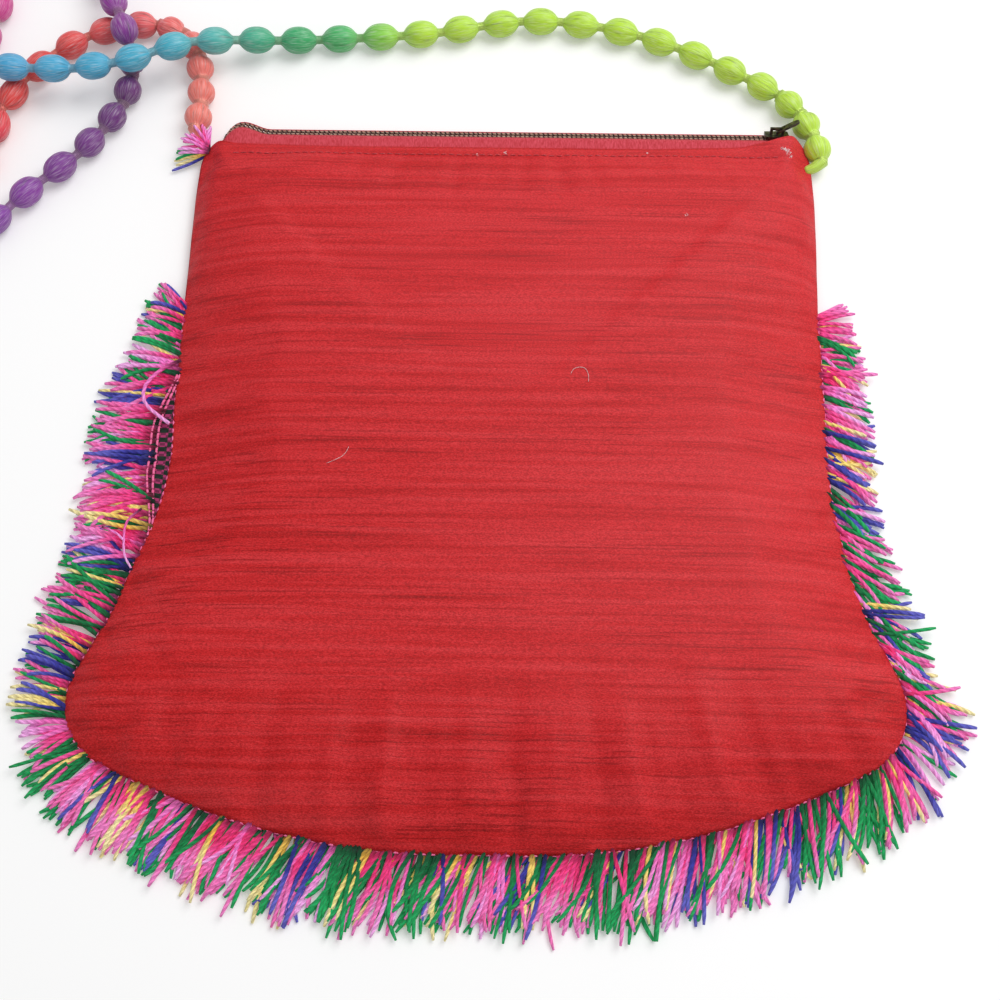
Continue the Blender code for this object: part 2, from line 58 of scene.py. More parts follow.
def paint(hex_code):
    """An sRGB hex colour as linear RGBA."""
    parts = [int(hex_code[i : i + 2], 16) / 255 for i in (0, 2, 4)]
    return (*[((c + 0.055) / 1.055) ** 2.4 if c > 0.04045 else c / 12.92 for c in parts], 1)


def feed(node, inputs):
    """Set a shader node's inputs to values, or link them to sockets or to other nodes' first outputs.

    inputs are named in a dict, or stand in a list in the node's own order.
    """
    for key, value in inputs.items() if isinstance(inputs, dict) else enumerate(inputs):
        if isinstance(value, bpy.types.Node):
            value = value.outputs[0]
        if isinstance(value, bpy.types.NodeSocket):
            node.id_data.links.new(value, node.inputs[key])
        else:
            node.inputs[key].default_value = value


def add(tree, kind, inputs, **settings):
    """Add a shader node with its inputs and settings, and a colour ramp with its stops."""
    node = tree.nodes.new("ShaderNode" + kind)
    stops = settings.pop("stops", [])
    for key, value in settings.items():
        setattr(node, key, value)
    for i, (place, hex_code) in enumerate(stops):
        elements = node.color_ramp.elements
        if i == 0:
            elements.remove(elements[1])
            elements[0].position = place
            elements[0].color = paint(hex_code)
        else:
            elements.new(place).color = paint(hex_code)
    feed(node, inputs)
    return node


def new_material(name):
    """A material with its node tree and its Principled shader."""
    material = bpy.data.materials.new(name)
    material.use_nodes = True
    return material, material.node_tree, material.node_tree.nodes["Principled BSDF"]


bpy.ops.object.select_all(action="DESELECT")
bpy.ops.mesh.primitive_plane_add(size=TABLE_SIZE)
table = bpy.context.object
table.name = "table"
table_paint, tree, shader = new_material("matte_white_table")
# to the eye it is a little lighter than the light on it makes it, as paper in an overexposed photograph
rays = add(tree, "LightPath", []).outputs
seen = add(tree, "Math", [rays["Is Camera Ray"], rays["Is Glossy Ray"]], operation="MAXIMUM")
seen = add(tree, "Math", [seen, rays["Is Transmission Ray"]], operation="MAXIMUM")
seen = add(tree, "Math", [seen, TABLE_GLOW], operation="MULTIPLY")
feed(
    shader,
    {"Base Color": paint(WHITE), "Roughness": 0.9, "Emission Color": (1, 1, 1, 1), "Emission Strength": seen},
)
table.data.materials.append(table_paint)

world = bpy.data.worlds.new("studio")
world.use_nodes = True
feed(world.node_tree.nodes["Background"], {"Color": (1, 1, 1, 1), "Strength": SKY_STRENGTH})
bpy.context.scene.world = world

bpy.ops.object.light_add(type="AREA", location=LAMP_PLACE)
lamp = bpy.context.object
lamp.data.size = LAMP_SIZE
lamp.data.energy = LAMP_WATTS
lamp.rotation_euler = (-Vector(LAMP_PLACE)).to_track_quat("-Z", "Y").to_euler()

bpy.ops.object.camera_add(location=CAMERA_PLACE)
camera = bpy.context.object
camera.data.lens = LENS_MM
camera.data.clip_start = 0.01
camera.rotation_euler = (Vector(CAMERA_TARGET) - Vector(CAMERA_PLACE)).to_track_quat("-Z", "Y").to_euler()
bpy.context.scene.camera = camera
bpy.context.scene.view_settings.view_transform = "Standard"


# Strap: light wooden beads in a sleeve of gathered rayon fibre, dyed from lime through green, blue,
# purple and pink to coral, with metallic thread wound round the necks between the beads. Both ends are
# sewn to the side seams under the mouth, and the strap lies loose on the table above the bag.
STRAP_ROUTE_MM = (
    (107.8, 106.5, 4.7), (105.8, 118.5, 4.7), (98.3, 133.3, 4.7), (77.8, 147.4, 4.7),
    (46.9, 161.2, 4.7), (11.4, 167.1, 4.7), (-30.4, 161.0, 4.7), (-70.0, 158.0, 4.7),
    (-110.0, 149.8, 13.4), (-130.3, 141.9, 14.4), (-149.0, 139.2, 13.0), (-193.0, 138.5, 13.0),
    (-239.0, 130.0, 4.7), (-259.0, 103.0, 4.7), (-249.0, 73.0, 4.7), (-219.0, 61.0, 4.7),
    (-186.0, 69.5, 4.7), (-161.9, 95.1, 4.7), (-142.0, 115.5, 4.7), (-131.4, 135.5, 4.8),
    (-131.0, 149.0, 8.0), (-134.8, 161.0, 12.8), (-141.5, 176.0, 9.0), (-148.0, 199.0, 4.7),
    (-156.2, 213.3, 4.7), (-172.8, 213.3, 4.7), (-181.0, 199.0, 4.7), (-180.5, 170.0, 4.7),
    (-188.0, 145.0, 4.7), (-205.5, 129.0, 4.7), (-213.5, 110.0, 4.7), (-205.0, 94.0, 4.7),
    (-187.0, 93.5, 4.7), (-177.5, 109.0, 4.7), (-172.5, 132.0, 4.7), (-155.0, 153.5, 4.7),
    (-130.0, 163.8, 4.7), (-111.5, 157.0, 4.7), (-105.8, 135.0, 4.7), (-107.8, 113.0, 4.7),
)
STRAP_LENGTH = 1.022
BEAD_DIAMETER = 0.0093
BEAD_HALF_LENGTH = 6.1
BEAD_SHOULDER, BEAD_ROUNDNESS = 2.25, 1.9
NECK_RADIUS = 1.45
NECK_BLEND = 1.8
NECK_HALF_MIN = 0.75
NECK_STARTS = 0.93
# a neck shorter than this one is bunched thicker, by this share of what it lacks
NECK_FREE_LENGTH, NECK_BUNCHING = 12.8, 0.42
BEAD_RINGS = 22
BEAD_SIDES = 44
PLEATS_PER_BEAD = 8
PLEAT_DEPTHS = (0.02, 0.06)
PLEAT_WIDTHS = (0.11, 0.2)
STRAP_SPACING = 0.5
THREAD_WIND_MM = 0.42
# places of the beads' middles along the strap, from its lime end, with the gaps filled at even pitch
BEAD_RUNS_MM = (
    (9.3, 19.8, 28.9, 40.7, 53.9, 67.0, 80.9, 94.9, 109.3, 123.9, 137.3, 152.4, 166.2, 180.2, 195.1),
    (209.1, 224.3, 238.3, 253.2, 267.6, 281.0, 295.2, 309.5),
    (550.4, 565.1, 578.9, 590.3, 602.8, 612.6, 623.9, 637.3),
    (903.6, 917.8, 931.7, 943.8, 957.9, 968.3, 978.6, 988.8, 999.1, 1009.0),
)
BEAD_PITCH_MM = 14.2


def smooth_line(points, spacing):
    """Places at an even spacing on a centripetal Catmull-Rom curve through the points."""
    route = np.array(points, float)
    route = np.vstack((2 * route[0] - route[1], route, 2 * route[-1] - route[-2]))
    fine = [route[1][None]]
    for a, b, c, d in zip(route, route[1:], route[2:], route[3:]):
        knots = [math.sqrt(np.linalg.norm(q - p)) for p, q in ((a, b), (b, c), (c, d))]
        t0, t1, t2, t3 = np.cumsum([0] + knots)
        t = np.linspace(t1, t2, 41)[1:, None]
        ab = a * (t1 - t) / (t1 - t0) + b * (t - t0) / (t1 - t0)
        bc = b * (t2 - t) / (t2 - t1) + c * (t - t1) / (t2 - t1)
        cd = c * (t3 - t) / (t3 - t2) + d * (t - t2) / (t3 - t2)
        abc = ab * (t2 - t) / (t2 - t0) + bc * (t - t0) / (t2 - t0)
        bcd = bc * (t3 - t) / (t3 - t1) + cd * (t - t1) / (t3 - t1)
        fine.append(abc * (t2 - t) / (t2 - t1) + bcd * (t - t1) / (t2 - t1))
    return even_steps(np.vstack(fine), spacing)


def reach_along(line):
    """The distance along a line to each of its points."""
    return np.append(0, np.cumsum(np.linalg.norm(np.diff(line, axis=0), axis=1)))


def place_along(line, stations):
    """The places on a line at distances along it."""
    reach = reach_along(line)
    return np.stack([np.interp(stations, reach, line[:, k]) for k in range(line.shape[1])], axis=-1)


def spread(line, count):
    """The line again, as so many points at an even spacing."""
    return place_along(line, np.linspace(0, reach_along(line)[-1], count))


def even_steps(line, spacing):
    """The line again, with points at about this spacing from end to end."""
    return spread(line, max(2, round(reach_along(line)[-1] / spacing) + 1))


def smoothstep(value):
    """An even rise from 0 to 1 without a kink at either end."""
    value = np.clip(value, 0, 1)
    return value * value * (3 - 2 * value)


def tubes(name, paths, radii, sides, material, values=None):
    """Tubes with closed ends along rows of points in millimetres, as one object in metres.

    Their UV map runs from 0 to 1 round them and in millimetres along them. values are named numbers for
    the points of every ring, kept as attributes.
    """
    paths = np.asarray(paths, float)
    count, steps = paths.shape[:2]
    along = np.gradient(paths, axis=1)
    along /= np.linalg.norm(along, axis=2, keepdims=True)
    aside = np.cross(along, (0, 0, 1))
    aside /= np.linalg.norm(aside, axis=2, keepdims=True)
    above = np.cross(aside, along)
    turn = np.arange(sides) * math.tau / sides - math.pi / 2
    ring = (
        aside[:, :, None] * np.cos(turn)[None, None, :, None]
        + above[:, :, None] * np.sin(turn)[None, None, :, None]
    )
    points = paths[:, :, None] + ring * np.broadcast_to(radii, (count, steps, sides))[..., None]
    spans = np.linalg.norm(np.diff(paths, axis=1), axis=2)
    reach = np.concatenate((np.zeros((count, 1)), np.cumsum(spans, axis=1)), axis=1)
    number = np.arange(count * steps * sides).reshape(count, steps, sides)
    nxt = np.roll(number, -1, axis=2)
    quads = np.stack((number[:, :-1], number[:, 1:], nxt[:, 1:], nxt[:, :-1]), axis=-1).reshape(-1, 4)
    around = np.arange(sides) / sides
    low = np.broadcast_to(reach[:, :-1, None], (count, steps - 1, sides))
    high = np.broadcast_to(reach[:, 1:, None], (count, steps - 1, sides))
    left = np.broadcast_to(around, low.shape)
    right = left + 1 / sides
    wall_uv = np.stack((left, low, left, high, right, high, right, low), axis=-1).reshape(-1, 2)
    caps = np.concatenate((number[:, 0], number[:, -1, ::-1]))
    cap_uv = np.zeros((caps.size, 2))
    cap_uv[caps.size // 2 :, 1] = np.repeat(reach[:, -1], sides)
    mesh = bpy.data.meshes.new(name)
    mesh.from_pydata((points.reshape(-1, 3) / 1000).tolist(), [], quads.tolist() + caps.tolist())
    uv = np.vstack((wall_uv, cap_uv)).astype("f").ravel()
    mesh.uv_layers.new(name="UVMap").data.foreach_set("uv", uv)
    for key, numbers in (values or {}).items():
        on_rings = np.broadcast_to(np.asarray(numbers, float)[..., None], (count, steps, sides))
        kept = mesh.attributes.new(key, "FLOAT", "POINT")
        kept.data.foreach_set("value", on_rings.astype("f").ravel())
    mesh.shade_smooth()
    mesh.materials.append(material)
    thing = bpy.data.objects.new(name, mesh)
    bpy.context.collection.objects.link(thing)
    return thing


strap_line = smooth_line(STRAP_ROUTE_MM, STRAP_SPACING)
bead_middles = list(BEAD_RUNS_MM[0])
for run in BEAD_RUNS_MM[1:]:
    gap = run[0] - bead_middles[-1]
    between = round(gap / BEAD_PITCH_MM)
    bead_middles += [bead_middles[-1] + gap * i / between for i in range(1, between)]
    bead_middles += run
bead_middles = np.array(bead_middles)
between = (bead_middles[1:] + bead_middles[:-1]) / 2
first_neck, last_neck = 2 * bead_middles[0] - between[0], 2 * bead_middles[-1] - between[-1]
necks = np.concatenate(([first_neck], between, [last_neck]))

# a bead is stiff, so its stretch of sleeve is straight, and the strap bends only at the necks
starts, ends = place_along(strap_line, necks[:-1]), place_along(strap_line, necks[1:])
half_way = (necks[:-1] + necks[1:]) / 2
bead_centres = (starts + 4 * place_along(strap_line, half_way) + ends) / 6
bead_ways = (ends - starts) / np.linalg.norm(ends - starts, axis=1, keepdims=True)
random = np.random.default_rng(7)
places, widths, neck_shares = [], [], []
angles = np.arange(BEAD_SIDES) * math.tau / BEAD_SIDES
for i, (start, end) in enumerate(zip(necks, necks[1:])):
    share = np.linspace(-1, 1, BEAD_RINGS, endpoint=False) + 1 / BEAD_RINGS
    reach = start + (end - start) * (share + 1) / 2
    straight = bead_centres[i] + bead_ways[i] * (reach - half_way[i])[:, None]
    for near, other, away in ((start, i - 1, -1), (end, i + 1, 1)):
        if 0 <= other < len(bead_centres):
            weight = 0.5 * smoothstep(1 - np.abs(reach - near) / NECK_BLEND)[:, None]
            beyond = bead_centres[other] + bead_ways[other] * (reach - half_way[other])[:, None]
            straight = straight * (1 - weight) + beyond * weight
    half = min(BEAD_HALF_LENGTH, (end - start) / 2 - NECK_HALF_MIN)
    inside = np.clip(np.abs(reach - half_way[i]) / half, 0, 1)
    # where the strap is pushed together, the necks are bunched thick
    neck = NECK_RADIUS + NECK_BUNCHING * max(0, NECK_FREE_LENGTH - (end - start))
    barrel = (BEAD_DIAMETER * 500) * (1 - inside**BEAD_SHOULDER) ** (1 / BEAD_ROUNDNESS)
    radius = (barrel**4 + neck**4) ** 0.25
    pleat = np.zeros((BEAD_RINGS, BEAD_SIDES))
    for angle in random.uniform(0, math.tau, PLEATS_PER_BEAD):
        off = (angles - angle + math.pi) % math.tau - math.pi
        depth = random.uniform(*PLEAT_DEPTHS) * np.exp(-((off / random.uniform(*PLEAT_WIDTHS)) ** 2))
        pleat += depth[None] * (0.55 + 0.9 * inside[:, None] ** 2) * (inside[:, None] < 0.999)
    places.append(straight)
    widths.append(radius[:, None] * (1 - pleat))
    neck_shares.append(smoothstep((inside - NECK_STARTS) / (1 - NECK_STARTS)))

strap_fibre, tree, shader = new_material("gathered_rayon_fibre")
# the fibres lie along the beads, with a satin gloss. Dark streaks of painted shade stand for the dark lines
# down in the pleats, and pale streaks are painted satin highlights
uv = add(tree, "UVMap", [], uv_map="UVMap")
parts = add(tree, "SeparateXYZ", [uv])
dye = add(tree, "Math", [parts.outputs[1], STRAP_LENGTH * 1000], operation="DIVIDE")
dyes = add(
    tree, "ValToRGB", [dye],
    stops=(
        (0.0, "C4EC3A"), (0.165, "BCEA38"), (0.178, "8FDA48"), (0.191, "4CBB68"), (0.206, "35AE66"),
        (0.220, "3DB084"), (0.234, "55BBAE"), (0.250, "48B6CC"), (0.27, "3FB2D8"), (0.30, "48AEDC"),
        (0.36, "2A66B8"), (0.45, "5A3FA8"), (0.54, "8C3AA4"), (0.59, "63206F"), (0.625, "9A3AA2"),
        (0.72, "D03C96"), (0.82, "F24A94"), (0.885, "F0443F"), (0.915, "EE4440"), (0.945, "F46468"),
        (0.965, "F57269"), (1.0, "FB8274"),
    ),
)
strands = add(tree, "Mapping", {"Vector": uv, "Scale": (26, 0.10, 1)})
streak = add(tree, "TexNoise", {"Vector": strands, "Scale": 1.0, "Detail": 3.0, "Roughness": 0.65})
fine_strands = add(tree, "Mapping", {"Vector": uv, "Scale": (90, 0.25, 1)})
fine_streak = add(tree, "TexNoise", {"Vector": fine_strands, "Scale": 1.0, "Detail": 2.0})
# painted shade: darker streaks over the dye, for the shadow down in the pleats
pleat_shade = add(tree, "ValToRGB", [streak], stops=((0.28, "7C7C7C"), (0.42, "E8E8E8"), (0.55, "FFFFFF")))
shaded = add(tree, "MixRGB", [0.7, dyes, pleat_shade], blend_type="MULTIPLY")
# painted highlight: pale satin streaks screened over the dye
painted_gleam = add(tree, "ValToRGB", [fine_streak], stops=((0.46, "000000"), (0.68, "A8A8A8")))
lit = add(tree, "MixRGB", [0.55, shaded, painted_gleam], blend_type="SCREEN")
neck = add(tree, "Attribute", [], attribute_name="neck")
winding = add(tree, "Math", [parts.outputs[1], math.tau / THREAD_WIND_MM], operation="MULTIPLY")
winding = add(tree, "Math", [winding], operation="SINE")
metal = add(tree, "ValToRGB", [winding], stops=((0.35, "7C7668"), (0.75, "D8D0BE")))
tinted = add(tree, "MixRGB", [0.62, metal, dyes])
wound = add(tree, "MixRGB", [neck.outputs["Fac"], lit, tinted])
shine = add(tree, "Math", [neck.outputs["Fac"], 0.5], operation="MULTIPLY")
grooves = add(tree, "Bump", {"Height": streak, "Strength": 0.55, "Distance": 0.0006})
threads = add(
    tree, "Bump",
    {"Height": fine_streak, "Strength": 0.35, "Distance": 0.0003, "Normal": grooves},
)
feed(shader, {"Base Color": wound, "Metallic": shine, "Roughness": 0.42, "Normal": threads})
feed(shader, {"Sheen Weight": 0.25, "Sheen Roughness": 0.4})

# each gathered end narrows and runs on from its last bead into the side seam
RIGHT_ROOT = ((101.8, 107.6, 3.8), (104.8, 108.6, 4.3))
LEFT_ROOT = ((-104.6, 116.0, 4.4), (-101.6, 112.4, 3.9))
ROOT_RINGS = 9
ROOT_SPACING = 0.2
ROOT_RADII = (1.5, 2.1)
ROOT_NECK_SHARE = 0.2
right_root = smooth_line((*RIGHT_ROOT, place_along(strap_line, necks[0])), ROOT_SPACING)
left_root = smooth_line((place_along(strap_line, necks[-1]), *LEFT_ROOT), ROOT_SPACING)
right_root, left_root = (
    line[np.linspace(0, len(line) - 1, ROOT_RINGS + 1).round().astype(int)]
    for line in (right_root, left_root)
)
root_width = np.linspace(*ROOT_RADII, ROOT_RINGS)[:, None] * np.ones(BEAD_SIDES)
strap_path = np.vstack([right_root[:-1], *places, left_root[1:]])
strap_width = np.vstack([root_width, *widths, root_width[::-1]])
root_neck = np.full(ROOT_RINGS, ROOT_NECK_SHARE)
strap = tubes(
    "strap_sleeve", strap_path[None], strap_width[None], BEAD_SIDES, strap_fibre,
    {"neck": np.concatenate([root_neck, *neck_shares, root_neck])[None]},
)
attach(strap, "bag")
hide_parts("strap")


# Silk panels: two bell-shaped panels of hand-woven slub silk with a thin padding, sewn together at the
# sides and the bottom. The seam draws the padded silk into soft puckers. The front panel lies face down.
HALF_WIDTH = 103.5
MOUTH_Y = 115.0
BACK_MOUTH_Y = 114.2
FRONT_MOUTH_Y = 121.3
BOTTOM_Y = -121.0
SIDE_LENGTH = 116.5
FLARE_RADIUS = 125.0
CORNER_RADIUS = 20.0
BOTTOM_RADIUS = 278.0
MOUTH_CORNER_RADIUS = 8.0
PANEL_THICKNESS = 0.001
CROWN = 14.0
SIDE_ROLL = 12.0
MOUTH_ROLL = 30.0
EDGE_Z = 3.6
MOUTH_Z = 8.3
LEAN = 0.0135
# how far the sewn sides stand out from the pattern's, at heights from the mouth down, left and right
SIDE_SHAPE_MM = (
    (113, 0, 0), (93, 0.8, 1.2), (75, 0.7, 1.0), (53, 0.6, 0.5), (16, 0.2, 1.2), (1, -0.6, 1.4),
    (-8, 0, 1.6), (-21, 1.0, 2.2), (-34, 2.9, 1.8), (-45, 2.7, 1.3), (-59, 2.2, 1.0), (-67, 1.7, 0.3),
    (-76, 1.0, -0.8), (-90, 1.0, -1.4),
)
BOTTOM_FULLNESS = 2.2
PANEL_COLUMNS = 104
PANEL_ROWS = 88
PUCKER_REACH = 11.0
PUCKER_DEPTH = 1.5
PUCKER_WAVES = ((0.5, 26, 0.7), (0.35, 15.3, 2.1), (0.25, 8.7, 0))
OUTLINE_SPACING = 0.8
# the right corner's lip over the closed slider: its middle, its reach each way and its rise
SLIDER_LIP, SLIDER_LIP_REACH, SLIDER_LIFT = (93, 117), (8, 7), 1.6
# how far the zip draws the back panel's mouth up, at places across it
MOUTH_PULL_MM = ((-101, -92, -60, 50, 80, 90, 98), (1.2, -1.0, -1.7, -1.5, -0.4, 1.8, 4.4))
SWELL_FRAMES = 20
SWELL_PRESSURE = 4
SWELL_MASS = 0.3
SWELL_STIFFNESS = 0.4
SWELL_GROWTH = 0.012
SWELL_LIMIT = 0.0022
# soft folds in the back panel: each one's two ends, its half width and how high it stands
FOLDS_MM = (
    ((60, -70), (61, -112), 5, 1.1), ((98, -60), (99, -100), 6, 1.2), ((84, -20), (82, -62), 9, 1.0),
    ((112, -45), (121, -78), 6, 0.9), ((36, -84), (33, -114), 5, 0.8), ((16, -88), (17, -114), 5, 0.7),
    ((-13, -96), (-13, -118), 4, 0.8), ((-32, -92), (-31, -115), 4, 0.9), ((-50, -82), (-47, -110), 4, 0.9),
    ((-86, -72), (-92, -102), 5, 0.7), ((94, 108), (98, 60), 5, 0.8), ((-97, 104), (-92, 60), 5, 0.6),
)


def arc(centre, radius, start, end, steps):
    """Points on an arc between two angles."""
    turns = np.linspace(start, end, steps)
    return np.stack((centre[0] + radius * np.cos(turns), centre[1] + radius * np.sin(turns)), axis=1)


def bell(mouth_y, corner_reach=MOUTH_CORNER_RADIUS):
    """Right half of the bell: its mouth, side and bottom, from the middle of the mouth downwards."""
    flare_centre = np.array((HALF_WIDTH + FLARE_RADIUS, MOUTH_Y - SIDE_LENGTH))
    bottom_centre = np.array((0, BOTTOM_Y + BOTTOM_RADIUS))
    across = bottom_centre - flare_centre
    gap = np.linalg.norm(across)
    to_flare, to_bottom = FLARE_RADIUS + CORNER_RADIUS, BOTTOM_RADIUS - CORNER_RADIUS
    along = (to_flare**2 - to_bottom**2 + gap**2) / (2 * gap)
    aside = math.sqrt(to_flare**2 - along**2)
    way = across / gap
    corner = flare_centre + way * along + np.array((-way[1], way[0])) * aside
    flare_end = math.atan2(*(corner - flare_centre)[::-1]) % math.tau
    corner_start = flare_end - math.pi
    corner_end = math.atan2(*(corner - bottom_centre)[::-1])
    corner_middle = (corner_start + corner_end) / 2
    mouth_corner = (HALF_WIDTH - corner_reach, mouth_y - corner_reach)
    mouth = np.vstack(([(0, mouth_y)], arc(mouth_corner, corner_reach, math.pi / 2, math.pi / 4, 12)))
    side = np.vstack(
        (
            arc(mouth_corner, corner_reach, math.pi / 4, 0, 12),
            arc(flare_centre, FLARE_RADIUS, math.pi, flare_end, 60),
            arc(corner, CORNER_RADIUS, corner_start, corner_middle, 20)[1:],
        )
    )
    bottom = np.vstack(
        (
            arc(corner, CORNER_RADIUS, corner_middle, corner_end, 20),
            arc(bottom_centre, BOTTOM_RADIUS, corner_end, -math.pi / 2, 80)[1:],
        )
    )
    return mouth, side, bottom


def lay_grid(name, places, material):
    """A grid with its points at places, given row by row in millimetres."""
    rows, columns = places.shape[:2]
    bpy.ops.object.select_all(action="DESELECT")
    bpy.ops.mesh.primitive_grid_add(x_subdivisions=columns - 1, y_subdivisions=rows - 1, size=1)
    thing = bpy.context.object
    thing.name = thing.data.name = name
    thing.data.vertices.foreach_set("co", (places.reshape(-1, 3) / 1000).astype("f").ravel())
    thing.data.update()
    thing.data.materials.append(material)
    thing.data.shade_smooth()
    return thing


def lean(places):
    """The bag as sewn: its bottom lies left of its mouth, and its sides aren't quite the pattern's."""
    x, y = places[..., 0], places[..., 1]
    shape = np.array(SIDE_SHAPE_MM[::-1])
    left, right = (np.interp(y, shape[:, 0], shape[:, k]) for k in (1, 2))
    out = right * np.clip(x / 100, 0, 1) - left * np.clip(-x / 100, 0, 1)
    full = BOTTOM_FULLNESS * np.exp(-(((np.abs(x) - 50) / 55) ** 2)) * smoothstep((-70 - y) / 40)
    return np.stack((x + out - LEAN * (MOUTH_Y - y), y - full), axis=-1)


def mouth_pull(places):
    """The zip's stitched ends pull the back panel's two mouth corners up, the right one the more."""
    pull = np.interp(places[..., 0], *MOUTH_PULL_MM) * smoothstep((places[..., 1] - 85) / 25)
    return np.stack((places[..., 0], places[..., 1] + pull), axis=-1)


def bell_grid(mouth_y, corner_reach=MOUTH_CORNER_RADIUS):
    """Flat places of a panel's grid, blended from its four sides, from the bottom row to the mouth."""
    mouth, side, bottom = bell(mouth_y, corner_reach)
    mirror = np.array((-1, 1))
    top = spread(np.vstack((mouth[::-1] * mirror, mouth[1:])), PANEL_COLUMNS)
    low = spread(np.vstack((bottom * mirror, bottom[-2::-1])), PANEL_COLUMNS)
    right = spread(side[::-1], PANEL_ROWS)
    left = right * mirror
    u = np.linspace(0, 1, PANEL_COLUMNS)[None, :, None]
    v = np.linspace(0, 1, PANEL_ROWS)[:, None, None]
    sides = left[:, None] * (1 - u) + right[:, None] * u
    ends = low[None] * (1 - v) + top[None] * v
    corners = (low[0] * (1 - u) + low[-1] * u) * (1 - v) + (top[0] * (1 - u) + top[-1] * u) * v
    return sides + ends - corners


def apply_modifier(thing, kind, **settings):
    """Give the object a modifier with its settings, and apply it."""
    step = thing.modifiers.new(kind.lower(), kind)
    for key, value in settings.items():
        setattr(step, key, value)
    bpy.context.view_layer.objects.active = thing
    bpy.ops.object.modifier_apply(modifier=step.name)


def outline(mouth_y, corner_reach=MOUTH_CORNER_RADIUS):
    """A panel's whole edge as its pattern has it, from the middle of the mouth round to the same place."""
    half = even_steps(np.vstack(bell(mouth_y, corner_reach)), OUTLINE_SPACING)
    return np.vstack((half, half[::-1] * (-1, 1)))


slub_silk, tree, shader = new_material("red_slub_silk")
# tabby of reeled warp and hand-spun weft: thick weft slubs show as darker, glossier lines across
place = add(tree, "TexCoord", []).outputs["Object"]
SKEW = (0, 0, 0.018)
weft = add(tree, "Mapping", {"Vector": place, "Scale": (13, 380, 60), "Rotation": SKEW})
slubs = add(tree, "TexNoise", {"Vector": weft, "Scale": 1.0, "Detail": 3.0, "Roughness": 0.55})
short = add(tree, "Mapping", {"Vector": place, "Scale": (24, 1350, 200), "Rotation": SKEW})
short_slubs = add(tree, "TexNoise", {"Vector": short, "Scale": 1.0, "Detail": 2.0})
grain = add(tree, "Mapping", {"Vector": place, "Scale": (1400, 3000, 1400)})
flecks = add(tree, "TexNoise", {"Vector": grain, "Scale": 1.0, "Detail": 2.0, "Roughness": 0.7})
cloud = add(tree, "TexNoise", {"Vector": place, "Scale": 18.0, "Detail": 2.0})
# the slubs come in patches, where one thick bobbin was woven in
patchy = add(tree, "Mapping", {"Vector": place, "Scale": (9, 55, 9), "Location": (0.3, 0.1, 0)})
patches = add(tree, "TexNoise", {"Vector": patchy, "Scale": 1.0, "Detail": 2.0})
patch = add(tree, "MapRange", [patches, 0.40, 0.60, 0.9, 0.1])
base = add(
    tree, "ValToRGB", [slubs],
    stops=((0.32, "C00C10"), (0.42, "D0171B"), (0.52, "D82429"), (0.66, "DE3136")),
)
weft_lines = add(tree, "ValToRGB", [short_slubs], stops=((0.34, "C46C76"), (0.45, "FFFFFF")))
lined = add(tree, "MixRGB", [patch, base, weft_lines], blend_type="MULTIPLY")
fleck_tone = add(tree, "ValToRGB", [flecks], stops=((0.36, "B0A0A0"), (0.5, "E8E4E4"), (0.62, "FFFFFF")))
woven = add(tree, "MixRGB", [0.75, lined, fleck_tone], blend_type="MULTIPLY")
# pale flecks of the weave: partly its paler threads, partly painted glints of sheen
weave_flecks_and_glints = add(tree, "ValToRGB", [flecks], stops=((0.52, "000000"), (0.72, "804042")))
flecked = add(tree, "MixRGB", [0.36, woven, weave_flecks_and_glints], blend_type="SCREEN")
spot = add(tree, "SeparateXYZ", [place])
# painted sheen: the silk's colour turns pinker towards the top right, on the side that the lamp lights
sheen_to_right = add(tree, "MapRange", [spot, -0.12, 0.12, 0.0, 0.25])
rise = add(tree, "MapRange", [spot.outputs[1], -0.12, 0.11, -0.1, 0.3])
painted_sheen = add(tree, "Math", [sheen_to_right, rise], operation="ADD", use_clamp=True)
painted_sheen = add(tree, "Math", [painted_sheen, cloud], operation="MULTIPLY")
silk_with_painted_sheen = add(tree, "MixRGB", [painted_sheen, flecked, paint("E4444C")])
relief = add(tree, "Bump", {"Height": short_slubs, "Strength": 0.25, "Distance": 0.0004})
thread = add(tree, "Bump", {"Height": flecks, "Strength": 0.5, "Distance": 0.0003, "Normal": relief})
feed(shader, {"Base Color": silk_with_painted_sheen, "Roughness": 0.5, "Specular IOR Level": 0.22, "Normal": thread})
feed(shader, {"Sheen Weight": 0.04, "Sheen Roughness": 0.45, "Sheen Tint": paint("F0A0A8")})

seam_outline = mouth_pull(lean(outline(BACK_MOUTH_Y)))
flat = mouth_pull(lean(bell_grid(BACK_MOUTH_Y)))
gaps = np.linalg.norm(flat[:, :, None] - seam_outline[None, None], axis=3)
nearest = gaps.argmin(axis=2)
depth = gaps.min(axis=2)
is_mouth = smoothstep((HALF_WIDTH - np.abs(seam_outline[:, 0])) / 7.0)
is_mouth = is_mouth * (seam_outline[:, 1] > MOUTH_Y - 8.5)
open_share = is_mouth[nearest]
side_height = EDGE_Z + (CROWN - EDGE_Z) * (1 - np.exp(-depth / SIDE_ROLL))
mouth_height = MOUTH_Z + (CROWN - MOUTH_Z) * (1 - np.exp(-depth / MOUTH_ROLL))
height = side_height + (mouth_height - side_height) * open_share
seam_reach = reach_along(seam_outline)[nearest]
wave = sum(rise * np.sin(seam_reach * math.tau / length + phase) for rise, length, phase in PUCKER_WAVES)
gather = smoothstep((-60 - flat[:, :, 1]) / 30) * 0.9 + 0.25
inward = depth / PUCKER_REACH
height += PUCKER_DEPTH * wave * gather * (1 - open_share) * inward * np.exp(1 - inward)
